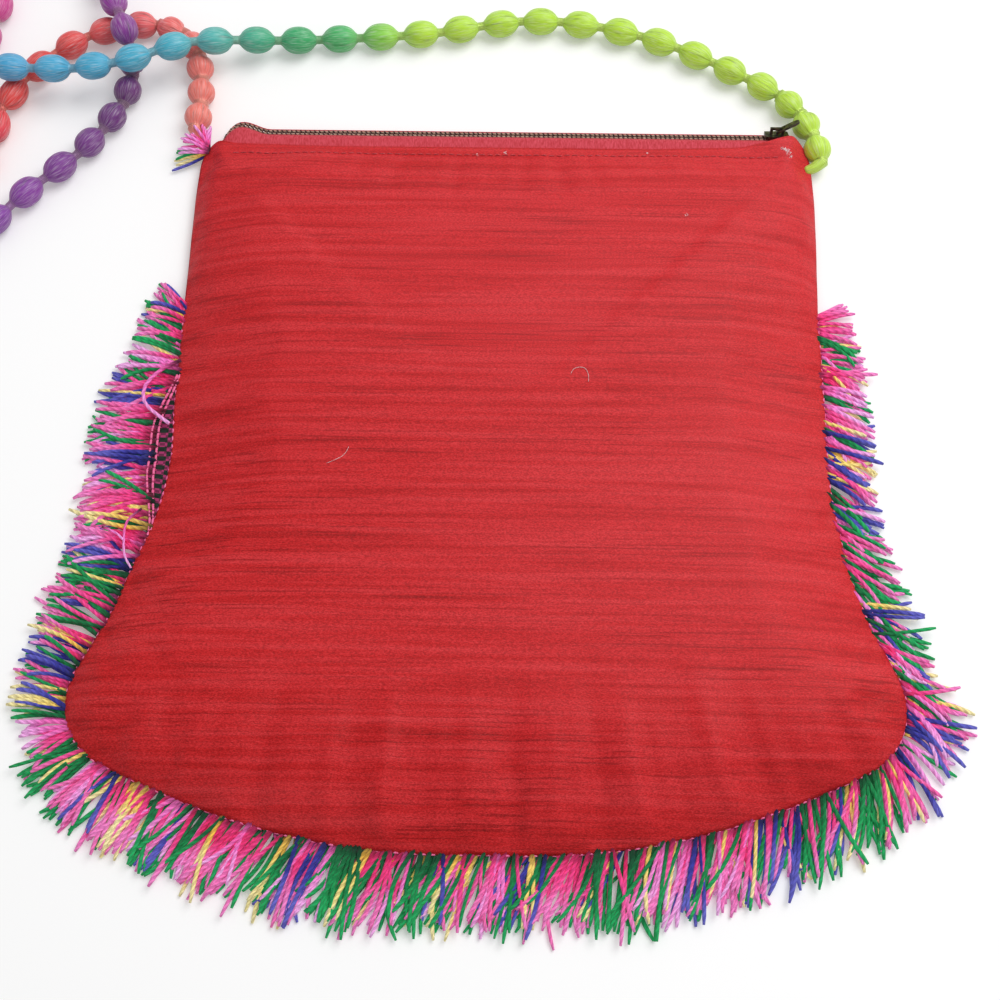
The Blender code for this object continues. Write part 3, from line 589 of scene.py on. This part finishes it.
for start, end, half_width, rise in FOLDS_MM:
    start, along = np.array(start), np.array(end) - start
    share = np.clip(((flat - start) @ along) / (along @ along), 0, 1)
    away = np.linalg.norm(flat - (start + share[:, :, None] * along), axis=2)
    height += rise * np.exp(-((away / half_width) ** 2)) * (1 - np.exp(-depth / 3)) * (0.35 + 0.65 * share)
from_lip = (flat - SLIDER_LIP) / SLIDER_LIP_REACH
height += SLIDER_LIFT * np.exp(-(from_lip[:, :, 0] ** 2) - from_lip[:, :, 1] ** 2)
edge = np.zeros((PANEL_ROWS, PANEL_COLUMNS), bool)
edge[[0, -1]] = True
edge[:, [0, -1]] = True
back_panel = lay_grid("back_silk", np.concatenate((flat, height[:, :, None]), axis=2), slub_silk)
# the padding swells the silk between its sewn edges
held = back_panel.vertex_groups.new(name="sewn_edge")
held.add([int(i) for i in np.flatnonzero(edge.ravel())], 1.0, "REPLACE")
rest_shape = np.zeros(len(back_panel.data.vertices) * 3, "f")
back_panel.data.vertices.foreach_get("co", rest_shape)
cloth = back_panel.modifiers.new("swell", "CLOTH")
cloth.settings.vertex_group_mass = "sewn_edge"
cloth.settings.quality = 6
cloth.settings.mass = SWELL_MASS
cloth.settings.bending_stiffness = SWELL_STIFFNESS
cloth.settings.use_pressure = True
cloth.settings.uniform_pressure_force = SWELL_PRESSURE
cloth.settings.shrink_min = -SWELL_GROWTH
cloth.settings.effector_weights.gravity = 0
for number in range(1, SWELL_FRAMES + 1):
    bpy.context.scene.frame_set(number)
bpy.ops.object.select_all(action="DESELECT")
bpy.context.view_layer.objects.active = back_panel
bpy.ops.object.modifier_apply(modifier="swell")
moved = np.zeros(len(back_panel.data.vertices) * 3, "f")
back_panel.data.vertices.foreach_get("co", moved)
shift = (moved - rest_shape).reshape(-1, 3)
size = np.linalg.norm(shift, axis=1, keepdims=True)
shift *= np.minimum(1, SWELL_LIMIT / np.maximum(size, 1e-9))
back_panel.data.vertices.foreach_set("co", (rest_shape + shift.ravel()).astype("f"))
back_panel.vertex_groups.clear()
bpy.context.scene.frame_set(1)
laid = np.zeros(len(back_panel.data.vertices) * 3, "f")
back_panel.data.vertices.foreach_get("co", laid)
laid = laid.reshape(PANEL_ROWS, PANEL_COLUMNS, 3) * 1000
apply_modifier(back_panel, "SUBSURF", levels=1, render_levels=1)
back_skin = BVHTree.FromObject(back_panel, bpy.context.evaluated_depsgraph_get())
apply_modifier(back_panel, "SOLIDIFY", thickness=PANEL_THICKNESS, offset=-1)
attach(back_panel, "bag")
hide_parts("back_panel")

FRONT_CORNER = 15.0
FRONT_RIM = 6.0
FRONT_RISE = 2.3
front_flat = lean(bell_grid(FRONT_MOUTH_Y, FRONT_CORNER))
front_outline = lean(outline(FRONT_MOUTH_Y, FRONT_CORNER))
front_depth = np.linalg.norm(front_flat[:, :, None] - front_outline[None, None], axis=3).min(axis=2)
front_height = FRONT_RISE * np.clip(1 - front_depth / FRONT_RIM, 0, 1) ** 2
front_panel = lay_grid(
    "front_silk", np.concatenate((front_flat, front_height[:, :, None]), axis=2), slub_silk
)
front_panel.data.flip_normals()
apply_modifier(front_panel, "SOLIDIFY", thickness=PANEL_THICKNESS, offset=-1)
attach(front_panel, "bag")
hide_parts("front_panel")


# Lining: plain cotton, sewn as a bag of its own inside the silk. It is unseen with the zip closed.
LINING_INSET_CELLS = 5
LINING_THICKNESS = 0.0005
UNDER_SILK_MM = 2.0
LINING_SEAM_Z = 2.4
LINING_FLOOR_Z = 1.7


def mottled(name, scale, detail, stops, roughness, relief=0.0):
    """A material coloured by a fine noise over the object's places, with that noise as its relief.

    scale is one number for the noise, or three that stretch it along X, Y and Z.
    """
    material, tree, shader = new_material(name)
    place = add(tree, "TexCoord", []).outputs["Object"]
    if isinstance(scale, tuple):
        place, scale = add(tree, "Mapping", {"Vector": place, "Scale": scale}), 1.0
    noise = add(tree, "TexNoise", {"Vector": place, "Scale": scale, "Detail": detail})
    tone = add(tree, "ValToRGB", [noise], stops=stops)
    feed(shader, {"Base Color": tone, "Roughness": roughness})
    if relief:
        feed(shader, {"Normal": add(tree, "Bump", {"Height": noise, "Strength": relief, "Distance": 0.0002})})
    return material


# cotton, dull and even, with the fine grid of a plain weave
lining_cotton = mottled(
    "plain_woven_cotton", (1700, 1700, 1700), 1.0, ((0.3, "7A1A20"), (0.7, "98282E")), 0.85, relief=0.4
)
inner = slice(LINING_INSET_CELLS, -LINING_INSET_CELLS)
lining_height = laid[inner, inner, 2] - UNDER_SILK_MM
rim = np.ones(lining_height.shape, bool)
rim[1:-1, 1:-1] = False
rim[-1] = False
lining_height[rim] = LINING_SEAM_Z
for name, heights in (("back", lining_height), ("front", np.full(lining_height.shape, LINING_FLOOR_Z))):
    places = np.concatenate((laid[inner, inner, :2], heights[:, :, None]), axis=2)
    half = lay_grid("lining_" + name, places, lining_cotton)
    apply_modifier(half, "SOLIDIFY", thickness=LINING_THICKNESS, offset=-1)
    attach(half, "bag")
    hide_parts(name + "_lining")


# Zip: a fine coil zip. Each coil is a brown nylon filament wound round a beige cord and sewn to the edge
# of a woven red tape; the back tape is hemmed under the back panel, the front one is caught in its lip.
ZIP_TILT = math.radians(35)
ZIP_Y = 119.5
ZIP_HEIGHT = 5.2
ZIP_HALF_LENGTH = 96.5
COIL_OFFSET = 1.2
COIL_RADIUS = 0.62
COIL_WIRE = 0.25
COIL_PITCH = 1.6
COIL_TURN_POINTS = 12
CORD_RADIUS = 0.4
# beyond the slider's travel the zip's left end bends into a hump and drops to the corner
TRAVEL_END_X = -80.8
HUMP_X = -90.5
HUMP_REACH = 9.5
HUMP_RISE = 2.3
END_DROP, END_DROP_REACH = 8.0, 8
END_LIFT = 0.35
TAPE_THICKNESS = 0.0005
TAPE_COLUMNS = 150
# the back tape's hem under the silk: its place at the mouth and how far it runs down from there
HEM_Y, HEM_Z, HEM_DEPTH = 113.0, 7.4, 6.5


def end_bend(x):
    """How far the zip's bent left end stands off its straight line, in millimetres."""
    hump = HUMP_RISE * smoothstep((TRAVEL_END_X - x) / HUMP_REACH)
    return hump - END_DROP * (np.clip(HUMP_X - x, 0, None) / END_DROP_REACH) ** 2


def zip_place(x, across, above):
    """Places over the zip's leaning plane: along it, across from the chain's middle, and above it."""
    y = ZIP_Y + across * math.cos(ZIP_TILT) + above * math.sin(ZIP_TILT) + end_bend(x)
    z = ZIP_HEIGHT - across * math.sin(ZIP_TILT) + above * math.cos(ZIP_TILT) + end_bend(x) * END_LIFT
    return np.stack(np.broadcast_arrays(x, y, z), axis=-1)


# nylon, a smooth plastic with a low gloss, a little lighter where it is rubbed
coil_nylon = mottled("moulded_nylon_filament", 300.0, 2.0, ((0.35, "2C0E0C"), (0.65, "4A1C16")), 0.45)
# the spun polyester cord inside the coil, matte with a fine twist
core_cord = mottled("beige_zip_cord", 1500.0, 1.0, ((0.3, "94705F"), (0.7, "C6A492")), 0.9)
for name, side in (("back", -1), ("front", 1)):
    turns = 2 * ZIP_HALF_LENGTH / COIL_PITCH
    t = np.linspace(0, turns, round(turns * COIL_TURN_POINTS))
    x = -ZIP_HALF_LENGTH + t * COIL_PITCH
    middle = COIL_RADIUS - COIL_WIRE
    across = side * COIL_OFFSET + middle * np.cos(t * math.tau)
    helix = zip_place(x, across, middle * np.sin(t * math.tau))
    coil = tubes("zip_filament_" + name, helix[None], COIL_WIRE, 6, coil_nylon)
    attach(coil, "bag")
    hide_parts("zip_coil_" + name)
    x = np.linspace(-ZIP_HALF_LENGTH, ZIP_HALF_LENGTH, 90)
    core = zip_place(x, side * COIL_OFFSET, 0)
    core = tubes("zip_cord_" + name, core[None], CORD_RADIUS, 8, core_cord)
    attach(core, "bag")

# polyester herringbone tape: fine ribs across, matte
zip_cloth = mottled(
    "woven_zip_tape", (2600, 700, 700), 1.0, ((0.3, "BC2A36"), (0.7, "D84858")), 0.8, relief=0.5
)
x = np.linspace(-ZIP_HALF_LENGTH, ZIP_HALF_LENGTH, TAPE_COLUMNS)
for name, reaches in (("back", (-4.6, -3.2, -2.15)), ("front", (2.15, 2.5))):
    rows = [zip_place(x, reach, 0.0) for reach in reaches]
    if name == "back":
        hem = np.stack((x, np.full(x.shape, HEM_Y), np.full(x.shape, HEM_Z)), axis=-1)
        rows = [hem - (0, HEM_DEPTH, 0), hem, *rows]
    else:
        rows += [rows[-1] + (0, 0.2, -0.7), rows[-1] + (0, 0.1, -1.5)]
    tape = lay_grid("zip_cloth_" + name, np.array(rows), zip_cloth)
    if tape.data.polygons[0].normal.z < 0:
        tape.data.flip_normals()
    apply_modifier(tape, "SOLIDIFY", thickness=TAPE_THICKNESS, offset=0)
    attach(tape, "bag")
    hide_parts("zip_tape_" + name)

# the slider and its pull: die-cast zinc with a dark aged brass finish, rubbed bright on its edges
slider_brass, tree, shader = new_material("aged_brass_plate")
place = add(tree, "TexCoord", []).outputs["Object"]
patina = add(tree, "TexNoise", {"Vector": place, "Scale": 700.0, "Detail": 4.0})
tone = add(tree, "ValToRGB", [patina], stops=((0.35, "38322C"), (0.6, "6A6056"), (0.75, "94887A")))
dull = add(tree, "MapRange", [patina, 0.3, 0.7, 0.5, 0.28])
feed(shader, {"Base Color": tone, "Metallic": 1.0, "Roughness": dull})
for name in ("zip_slider", "zip_pull"):
    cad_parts[name].data.materials.clear()
    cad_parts[name].data.materials.append(slider_brass)


# Fringe: cut lengths of two-ply yarn in hot pink, lilac, green, indigo and straw, sewn across a plaid
# heading tape that is caught in the seam. They lie out over the table, in clumps with gaps between.
YARN_RADIUS = 0.66
YARN_STEP = 0.34
YARN_POINTS = 12
YARN_SIDES = 6
YARN_ROOT_INSIDE = 2.6
# turns of a two-ply yarn's twist: millimetres along it for one
TWIST_MM = 2.6
YARN_GLOW = 0.16
FRINGE_TOP_Y = 53.5
SEAM_SPACING = 0.5
HEADING_Z = 3.0
# places along the seam: x and y, yarn length, way out in degrees from +X, and bend by the tip
FRINGE_LIE = (
    (103.5, 59, 12, 22, -10), (103.5, 45, 15, -4, -14), (103.5, 20, 17, -16, -16),
    (103.5, -1, 17, -24, -14), (107, -31, 17, -28, -10), (116, -55, 18, -30, -8), (128, -75, 20, -20, -14),
    (133.5, -90, 22, -30, -18), (126, -101, 21, -62, -18), (105, -103, 24, -86, -14),
    (70, -112, 25, -102, -8), (35, -118, 23.5, -108, -6), (0, -121, 23.5, -111, -4),
    (-35, -118, 24, -113, -6), (-70, -112, 24, -118, -4), (-105, -103, 23, -124, 4),
    (-126, -101, 19, -140, 8), (-133.5, -90, 16, -180, 22), (-128, -75, 17, -208, 14),
    (-116, -55, 22, -208, 10), (-107, -31, 23, -196, 24), (-104, -12, 22, -184, 26),
    (-103.5, 5, 21, -186, 8), (-103.5, 22, 20, -200, 8), (-103.5, 40, 18, -214, 10),
    (-103.5, 59, 14, -222, 14),
)

right_side = np.vstack(bell(MOUTH_Y)[1:])
seam_line = np.vstack((right_side, right_side[-2::-1] * (-1, 1)))
below = np.flatnonzero(seam_line[:, 1] <= FRINGE_TOP_Y)
fringed = seam_line[below[0] : below[-1] + 1]
fringed = np.vstack(([(HALF_WIDTH, FRINGE_TOP_Y)], fringed, [(-HALF_WIDTH, FRINGE_TOP_Y)]))
seam_line = even_steps(lean(fringed), SEAM_SPACING)
fringe_reach = reach_along(seam_line)
lie = np.array(FRINGE_LIE, float)
lie_reach = fringe_reach[np.linalg.norm(seam_line[None] - lie[:, None, :2], axis=2).argmin(axis=1)]
# share of pink, lilac, green, indigo and straw yarns at the right, bottom and left of the bag
YARN_MIX = (
    (0.36, 0.17, 0.22, 0.08, 0.17), (0.34, 0.10, 0.31, 0.10, 0.15), (0.36, 0.16, 0.27, 0.08, 0.13),
)
# each yarn's colour deep in the fringe, along its length and at its tip; the deeper tone towards the roots is
# painted shade
YARN_COLOURS = {
    "pink": ("F02870", "FF4C9C", "FF8AD2"),
    "lilac": ("FF58AE", "FF86DA", "FFB8F6"),
    "green": ("046038", "0A8A4A", "1CB062"),
    "indigo": ("26267E", "3C3CA6", "6868CC"),
    "straw": ("FFC850", "FFE480", "FFF2B2"),
}
# on the left side the heading tape stands out past the silk, and the yarns start at its outer edge
HEADING_SHOWS = 7.2


def heading_bulge(places):
    """How far the heading tape shows outside the left seam, from 0 to 1."""
    return smoothstep(1.2 - np.abs(places[..., 1] - 2) / 28) * (places[..., 0] < 0)


random = np.random.default_rng(11)
yarns = {name: [] for name in YARN_COLOURS}
yarn_radii = {name: [] for name in YARN_COLOURS}


def lay_yarn(name, root, way, length, bend, root_z, tip_z, radius):
    """Add a yarn's path: out from its root, down onto what lies there, and round by its bend."""
    share = np.linspace(0, 1, YARN_POINTS)
    turn = np.radians(way) + np.radians(bend) * share**1.3
    turn = turn + random.normal(0, 0.06) * np.sin(share * 4 + random.uniform(0, 6))
    steps = np.stack((np.cos(turn), np.sin(turn)), axis=1) * length / (YARN_POINTS - 1)
    flat_path = np.vstack(([root], root + np.cumsum(steps[1:], axis=0)))
    z = tip_z + (root_z - tip_z) * (1 - smoothstep(share / 0.62))
    z = z + 0.5 * np.sin(share * math.pi) * random.uniform(0, 1.6)
    yarns[name].append(np.concatenate((flat_path, z[:, None]), axis=1))
    taper = np.interp(share, (0, 0.94, 1), (1, 1, 0.6))
    yarn_radii[name].append((radius * taper)[:, None])


reach = 0.0
names = list(YARN_COLOURS)
while reach < fringe_reach[-1]:
    round_bag = reach / fringe_reach[-1] * 2
    chances = np.array([np.interp(round_bag, (0, 1, 2), shares) for shares in zip(*YARN_MIX)])
    name = names[random.choice(len(names), p=chances / chances.sum())]
    clump = int(random.integers(1, 3)) if name == "straw" else int(random.integers(1, 6))
    clump_turn = random.normal(0, 9)
    clump_stretch = random.uniform(0.86, 1.08)
    for _ in range(clump):
        if reach >= fringe_reach[-1]:
            break
        root = np.array([np.interp(reach, fringe_reach, seam_line[:, k]) for k in range(2)])
        length, way, bend = (np.interp(reach, lie_reach, lie[:, k]) for k in (2, 3, 4))
        inward = -root / np.linalg.norm(root) * YARN_ROOT_INSIDE
        inward[0] -= HEADING_SHOWS * heading_bulge(root)
        layer = random.uniform(0, 1)
        lay_yarn(
            name, root + inward, way + clump_turn + random.normal(0, 8),
            (length + 2) * clump_stretch * random.uniform(0.9, 1.08), bend + random.normal(0, 16),
            2.0 + 1.7 * layer, YARN_RADIUS + 2.6 * layer**1.5, YARN_RADIUS * random.uniform(0.85, 1.1),
        )
        reach += YARN_STEP * random.uniform(0.7, 1.3)
    reach += random.uniform(0, 0.35)

# loose yarn ends caught in the left seam, round the strap's end: their ways out in degrees, the heights
# of their roots and the least and most of their tips, and their least and most lengths
TUFT_ROOT = (-101.2, 114.4)
TUFT_RADIUS = 0.5
TUFT_ENDS = (
    ("pink", np.linspace(98, 184, 9), (5.2, 4.0, 7.5), (6, 10)),
    ("lilac", np.linspace(94, 186, 14), (5.4, 4.6, 7.8), (7, 10.5)),
    ("green", np.linspace(166, 190, 5), (4.0, 1.0, 3.0), (10, 13)),
    ("straw", (176, 196, 203), (3.4, 0.8, 2.0), (9, 13)),
    ("indigo", (206,), (3.2, 0.8, 1.6), (14, 15)),
)
for name, ways, (root_z, low_z, high_z), lengths in TUFT_ENDS:
    for way in ways:
        root = np.array((TUFT_ROOT[0], TUFT_ROOT[1] - way * 0.01 + random.uniform(-1.8, 1.8)))
        length, bend = random.uniform(*lengths), random.normal(0, 12)
        lay_yarn(name, root, way, length, bend, root_z, random.uniform(low_z, high_z), TUFT_RADIUS)

# lilac yarns pulled loose on the left side: a wide loop, and two thin unspun strands
STRAY_Z = 5.4
STRAYS = (
    (0.6, ((-103.9, 33.2), (-110.6, 29.2), (-114.9, 23.1), (-114.1, 17.9), (-109.5, 13.7), (-105.8, 11.0))),
    (0.38, ((-111.7, -17.8), (-115.9, -22.2), (-116.3, -28.1), (-115.4, -33.6), (-113.2, -37.2))),
    (0.38, ((-123.5, -24.0), (-118.6, -26.2), (-116.6, -28.1))),
)
for radius, spots in STRAYS:
    yarns["lilac"].append(spread(smooth_line([(x, y, STRAY_Z) for x, y in spots], 0.3), YARN_POINTS))
    yarn_radii["lilac"].append(np.full((YARN_POINTS, 1), radius))

for name, (deep, middle, tip) in YARN_COLOURS.items():
    yarn, tree, shader = new_material("two_ply_yarn_" + name)
    # spun two-ply yarn, matte, with a dark line of painted shade in the groove where the plies meet. Painted
    # shade also deepens the colour towards the roots, so the tips are paler
    uv = add(tree, "UVMap", [], uv_map="UVMap")
    parts = add(tree, "SeparateXYZ", [uv])
    plies = add(tree, "Math", [parts, 2 * math.tau], operation="MULTIPLY")
    advance = add(tree, "Math", [parts.outputs[1], math.tau / TWIST_MM], operation="MULTIPLY")
    phase = add(tree, "Math", [plies, advance], operation="ADD")
    ply = add(tree, "Math", [phase], operation="SINE")
    place = add(tree, "TexCoord", []).outputs["Object"]
    fuzz = add(tree, "TexNoise", {"Vector": place, "Scale": 1400.0, "Detail": 2.0})
    lot = add(tree, "TexNoise", {"Vector": place, "Scale": 90.0, "Detail": 1.0})
    reach_share = add(tree, "Attribute", [], attribute_name="reach")
    # painted shade: the tone deepens from the tip to the root, over the yarn lot's own random differences
    lot_and_root_shade = add(tree, "Math", [lot, 0.5], operation="SUBTRACT")
    lot_and_root_shade = add(tree, "Math", [lot_and_root_shade, reach_share.outputs["Fac"]], operation="ADD")
    tone = add(tree, "ValToRGB", [lot_and_root_shade], stops=((0.08, deep), (0.42, middle), (0.92, tip)))
    # painted shade: the groove between the plies darkened in the colour
    ply_groove_shade = add(tree, "ValToRGB", [ply], stops=((0.0, "807078"), (0.35, "FFFFFF")))
    twisted = add(tree, "MixRGB", [0.32, tone, ply_groove_shade], blend_type="MULTIPLY")
    soft = add(tree, "ValToRGB", [fuzz], stops=((0.3, "D8D8D8"), (0.6, "FFFFFF")))
    hairy = add(tree, "MixRGB", [0.45, twisted, soft], blend_type="MULTIPLY")
    # little light comes down to the yarns' roots, and much scatters through their loose fibres
    rooted = add(tree, "ValToRGB", [reach_share.outputs["Fac"]], stops=((0.04, "5C5058"), (0.26, "FFFFFF")))
    shaded = add(tree, "MixRGB", [1.0, hairy, rooted], blend_type="MULTIPLY")
    lay_of_ply = add(tree, "Bump", {"Height": ply, "Strength": 0.4, "Distance": 0.0004})
    hairs = add(tree, "Bump", {"Height": fuzz, "Strength": 0.5, "Distance": 0.0003, "Normal": lay_of_ply})
    feed(shader, {"Base Color": shaded, "Emission Color": shaded, "Emission Strength": YARN_GLOW})
    feed(shader, {"Roughness": 0.95, "Sheen Weight": 0.1, "Normal": hairs})
    share = np.broadcast_to(np.linspace(0, 1, YARN_POINTS), (len(yarns[name]), YARN_POINTS))
    paths, radii = np.array(yarns[name]), np.array(yarn_radii[name])
    bunch = tubes("yarn_" + name, paths, radii, YARN_SIDES, yarn, {"reach": share})
    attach(bunch, "bag")
    if name == "pink":
        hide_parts("root_tuft")

# the heading tape: a plaid cotton braid with dull checks of dark green and rose, shown past the left seam
HEADING_THICKNESS = 0.0008
HEADING_WIDTH = 3.4
HEADING_INSIDE = 4.2
BRAID_CELLS = (2.0, 1.6)
heading_cotton, tree, shader = new_material("plaid_cotton_braid")
uv = add(tree, "UVMap", [], uv_map="UVMap")
check, fine_check = (
    add(tree, "TexChecker", {"Vector": uv, "Scale": scale, "Color1": paint(one), "Color2": paint(other)})
    for scale, one, other in ((0.62, "122A1C", "A83068"), (1.1, "FFFFFF", "606060"))
)
plaid = add(tree, "MixRGB", [0.7, check, fine_check], blend_type="MULTIPLY")
feed(shader, {"Base Color": plaid, "Roughness": 0.9})
ways = np.gradient(seam_line[::4], axis=0)
ways /= np.linalg.norm(ways, axis=1, keepdims=True)
outward = np.stack((-ways[:, 1], ways[:, 0]), axis=1)
middle = seam_line[::4]
bulge = heading_bulge(middle)


def across_tape(share):
    """A line along the tape, at a share of the way from its hidden edge to its outer one."""
    wider = share * (HEADING_SHOWS + 0.8) * bulge
    return middle + outward * (share * HEADING_WIDTH - HEADING_INSIDE + wider)[:, None]


at_height = np.full((len(middle), 1), HEADING_Z)
rows = [np.concatenate((across_tape(share), at_height), axis=1) for share in (0, 0.25, 0.5, 0.75, 1)]
heading = lay_grid("heading_tape", np.array(rows), heading_cotton)
if heading.data.polygons[0].normal.z < 0:
    heading.data.flip_normals()
corner_verts = np.zeros(len(heading.data.loops), "i")
heading.data.loops.foreach_get("vertex_index", corner_verts)
braid_uv = np.stack((corner_verts % len(middle), corner_verts // len(middle)), axis=1) * BRAID_CELLS
heading.data.uv_layers[0].data.foreach_set("uv", braid_uv.astype("f").ravel())
heading.data.uv_layers[0].name = "UVMap"
apply_modifier(heading, "SOLIDIFY", thickness=HEADING_THICKNESS, offset=0)
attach(heading, "bag")
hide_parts("fringe_trim")


# Stitches: two rows of chain stitch hold the yarns on the heading tape, and the seam's own stitches show
# as short pink bars along the silk's edge. Further on, the same way of sewing makes the mouth's hem.
CHAIN_ROWS = (0.78, 0.96)
CHAIN_PITCH, CHAIN_LENGTH, CHAIN_Z = 2.4, 2.0, 3.5
SEAM_PITCH, SEAM_LENGTH, SEAM_DROP = 2.7, 1.5, 0.35
STITCH_RADIUS = 0.4
STITCH_BOW = 0.3


def stitches(line, pitch, length, height):
    """Paths of short stitches in a row along a flat line, each bowed up over the cloth."""
    line = even_steps(line, 0.2)
    share = np.linspace(0, 1, 6)
    bow = STITCH_BOW * np.sin(share * math.pi)[:, None]
    rows = []
    for start in np.arange(0, reach_along(line)[-1] - length, pitch):
        spot = place_along(line, start + share * length)
        rows.append(np.concatenate((spot, height(spot) + bow), axis=1))
    return rows


# spun thread with a soft shine, its twist just seen
stitch_thread = mottled("pink_sewing_thread", 2500.0, 1.0, ((0.3, "EC4A88"), (0.7, "FF8CBC")), 0.7)
stitch_rows = []
for share in CHAIN_ROWS:
    shown = across_tape(share)[bulge > 0.05]
    stitch_rows += stitches(shown, CHAIN_PITCH, CHAIN_LENGTH, lambda spot: CHAIN_Z)
for side in (-1, 1):
    edge_line = lean(even_steps(np.vstack(bell(MOUTH_Y)[1:]), 1.0) * (side, 1) * 0.999)
    edge_line = edge_line[edge_line[:, 1] < FRINGE_TOP_Y]
    stitch_rows += stitches(edge_line, SEAM_PITCH, SEAM_LENGTH, lambda spot: EDGE_Z - SEAM_DROP)
chain_stitch = tubes("heading_stitches", np.array(stitch_rows), STITCH_RADIUS, 6, stitch_thread)
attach(chain_stitch, "bag")


# Topstitch, worn specks and lint on the back panel: red thread along the mouth's hem, pale scuffs where
# the silk has rubbed through to its core, and two loose hairs of lint.
HEM_LINE = ((-92.0, 108.6), (92.0, 109.4))
HEM_PITCH, HEM_LENGTH, HEM_RADIUS = 2.6, 1.9, 0.13
# places of the scuffs with their sizes, and how many fibres of which length stand up in each
SCUFF_FIBRES_PER_MM, SCUFF_SPREAD, SCUFF_HALF_LENGTH = 16, 0.38, 0.3
SCUFF_RADIUS, SCUFF_RISE = 0.07, 0.02
LINT_RADIUS, LINT_RISE = 0.08, 0.16


def on_silk(spots):
    """Heights of the back panel's surface under flat places, in millimetres."""
    hits = [back_skin.ray_cast((x / 1000, y / 1000, 0.05), (0, 0, -1))[0] for x, y in spots]
    return np.array([[hit.z * 1000] for hit in hits])


# spun thread, a little darker than the silk in its twist
hem_thread = mottled("red_sewing_thread", 2500.0, 1.0, ((0.3, "A0202A"), (0.7, "D85A64")), 0.6)
hem_rows = stitches(np.array(HEM_LINE), HEM_PITCH, HEM_LENGTH, on_silk)
hem = tubes("hem_topstitch", np.array(hem_rows), HEM_RADIUS, 6, hem_thread)
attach(hem, "bag")

SCUFFS = (
    (94.6, 112.0, 1.5), (96.2, 109.8, 0.8), (95.4, 111.2, 1.1), (-0.2, 110.1, 0.9), (-9.6, 109.2, 0.6),
    (47.9, 110.8, 0.6), (59.9, 84.0, 0.7), (93.2, 112.6, 0.7),
)
# the silk's pale, undyed core where it is rubbed, and dull lint
scuffed = mottled("rubbed_silk_core", 2200.0, 2.0, ((0.35, "C88088"), (0.6, "F0D8D8")), 0.9)
fibres = []
for x, y, size in SCUFFS:
    reach = np.linspace(-SCUFF_HALF_LENGTH, SCUFF_HALF_LENGTH, 4)[:, None] * size
    for _ in range(round(size * SCUFF_FIBRES_PER_MM)):
        spot = np.array((x, y)) + random.normal(0, size * SCUFF_SPREAD, 2)
        way = random.uniform(-1.5, 1.5)
        line = spot + reach * np.array((math.cos(way), math.sin(way)))
        fibres.append(np.concatenate((line, on_silk(line) + SCUFF_RISE), axis=1))
scuffs = tubes("rubbed_specks", np.array(fibres), SCUFF_RADIUS, 5, scuffed)
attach(scuffs, "bag")

LINT = (
    ((21.5, 24.9), (22.3, 26.6), (24.2, 27.4), (26.0, 27.0), (27.0, 25.0), (27.1, 22.4)),
    ((-53.6, -6.1), (-51.0, -4.9), (-48.8, -3.6), (-47.6, -2.0), (-47.0, -0.6)),
)
for number, hair in enumerate(LINT):
    line = smooth_line([(x, y, 0) for x, y in hair], 0.5)[:, :2]
    path = np.concatenate((line, on_silk(line) + LINT_RISE), axis=1)
    lint = tubes(f"lint_{number}", path[None], LINT_RADIUS, 6, scuffed)
    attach(lint, "bag")
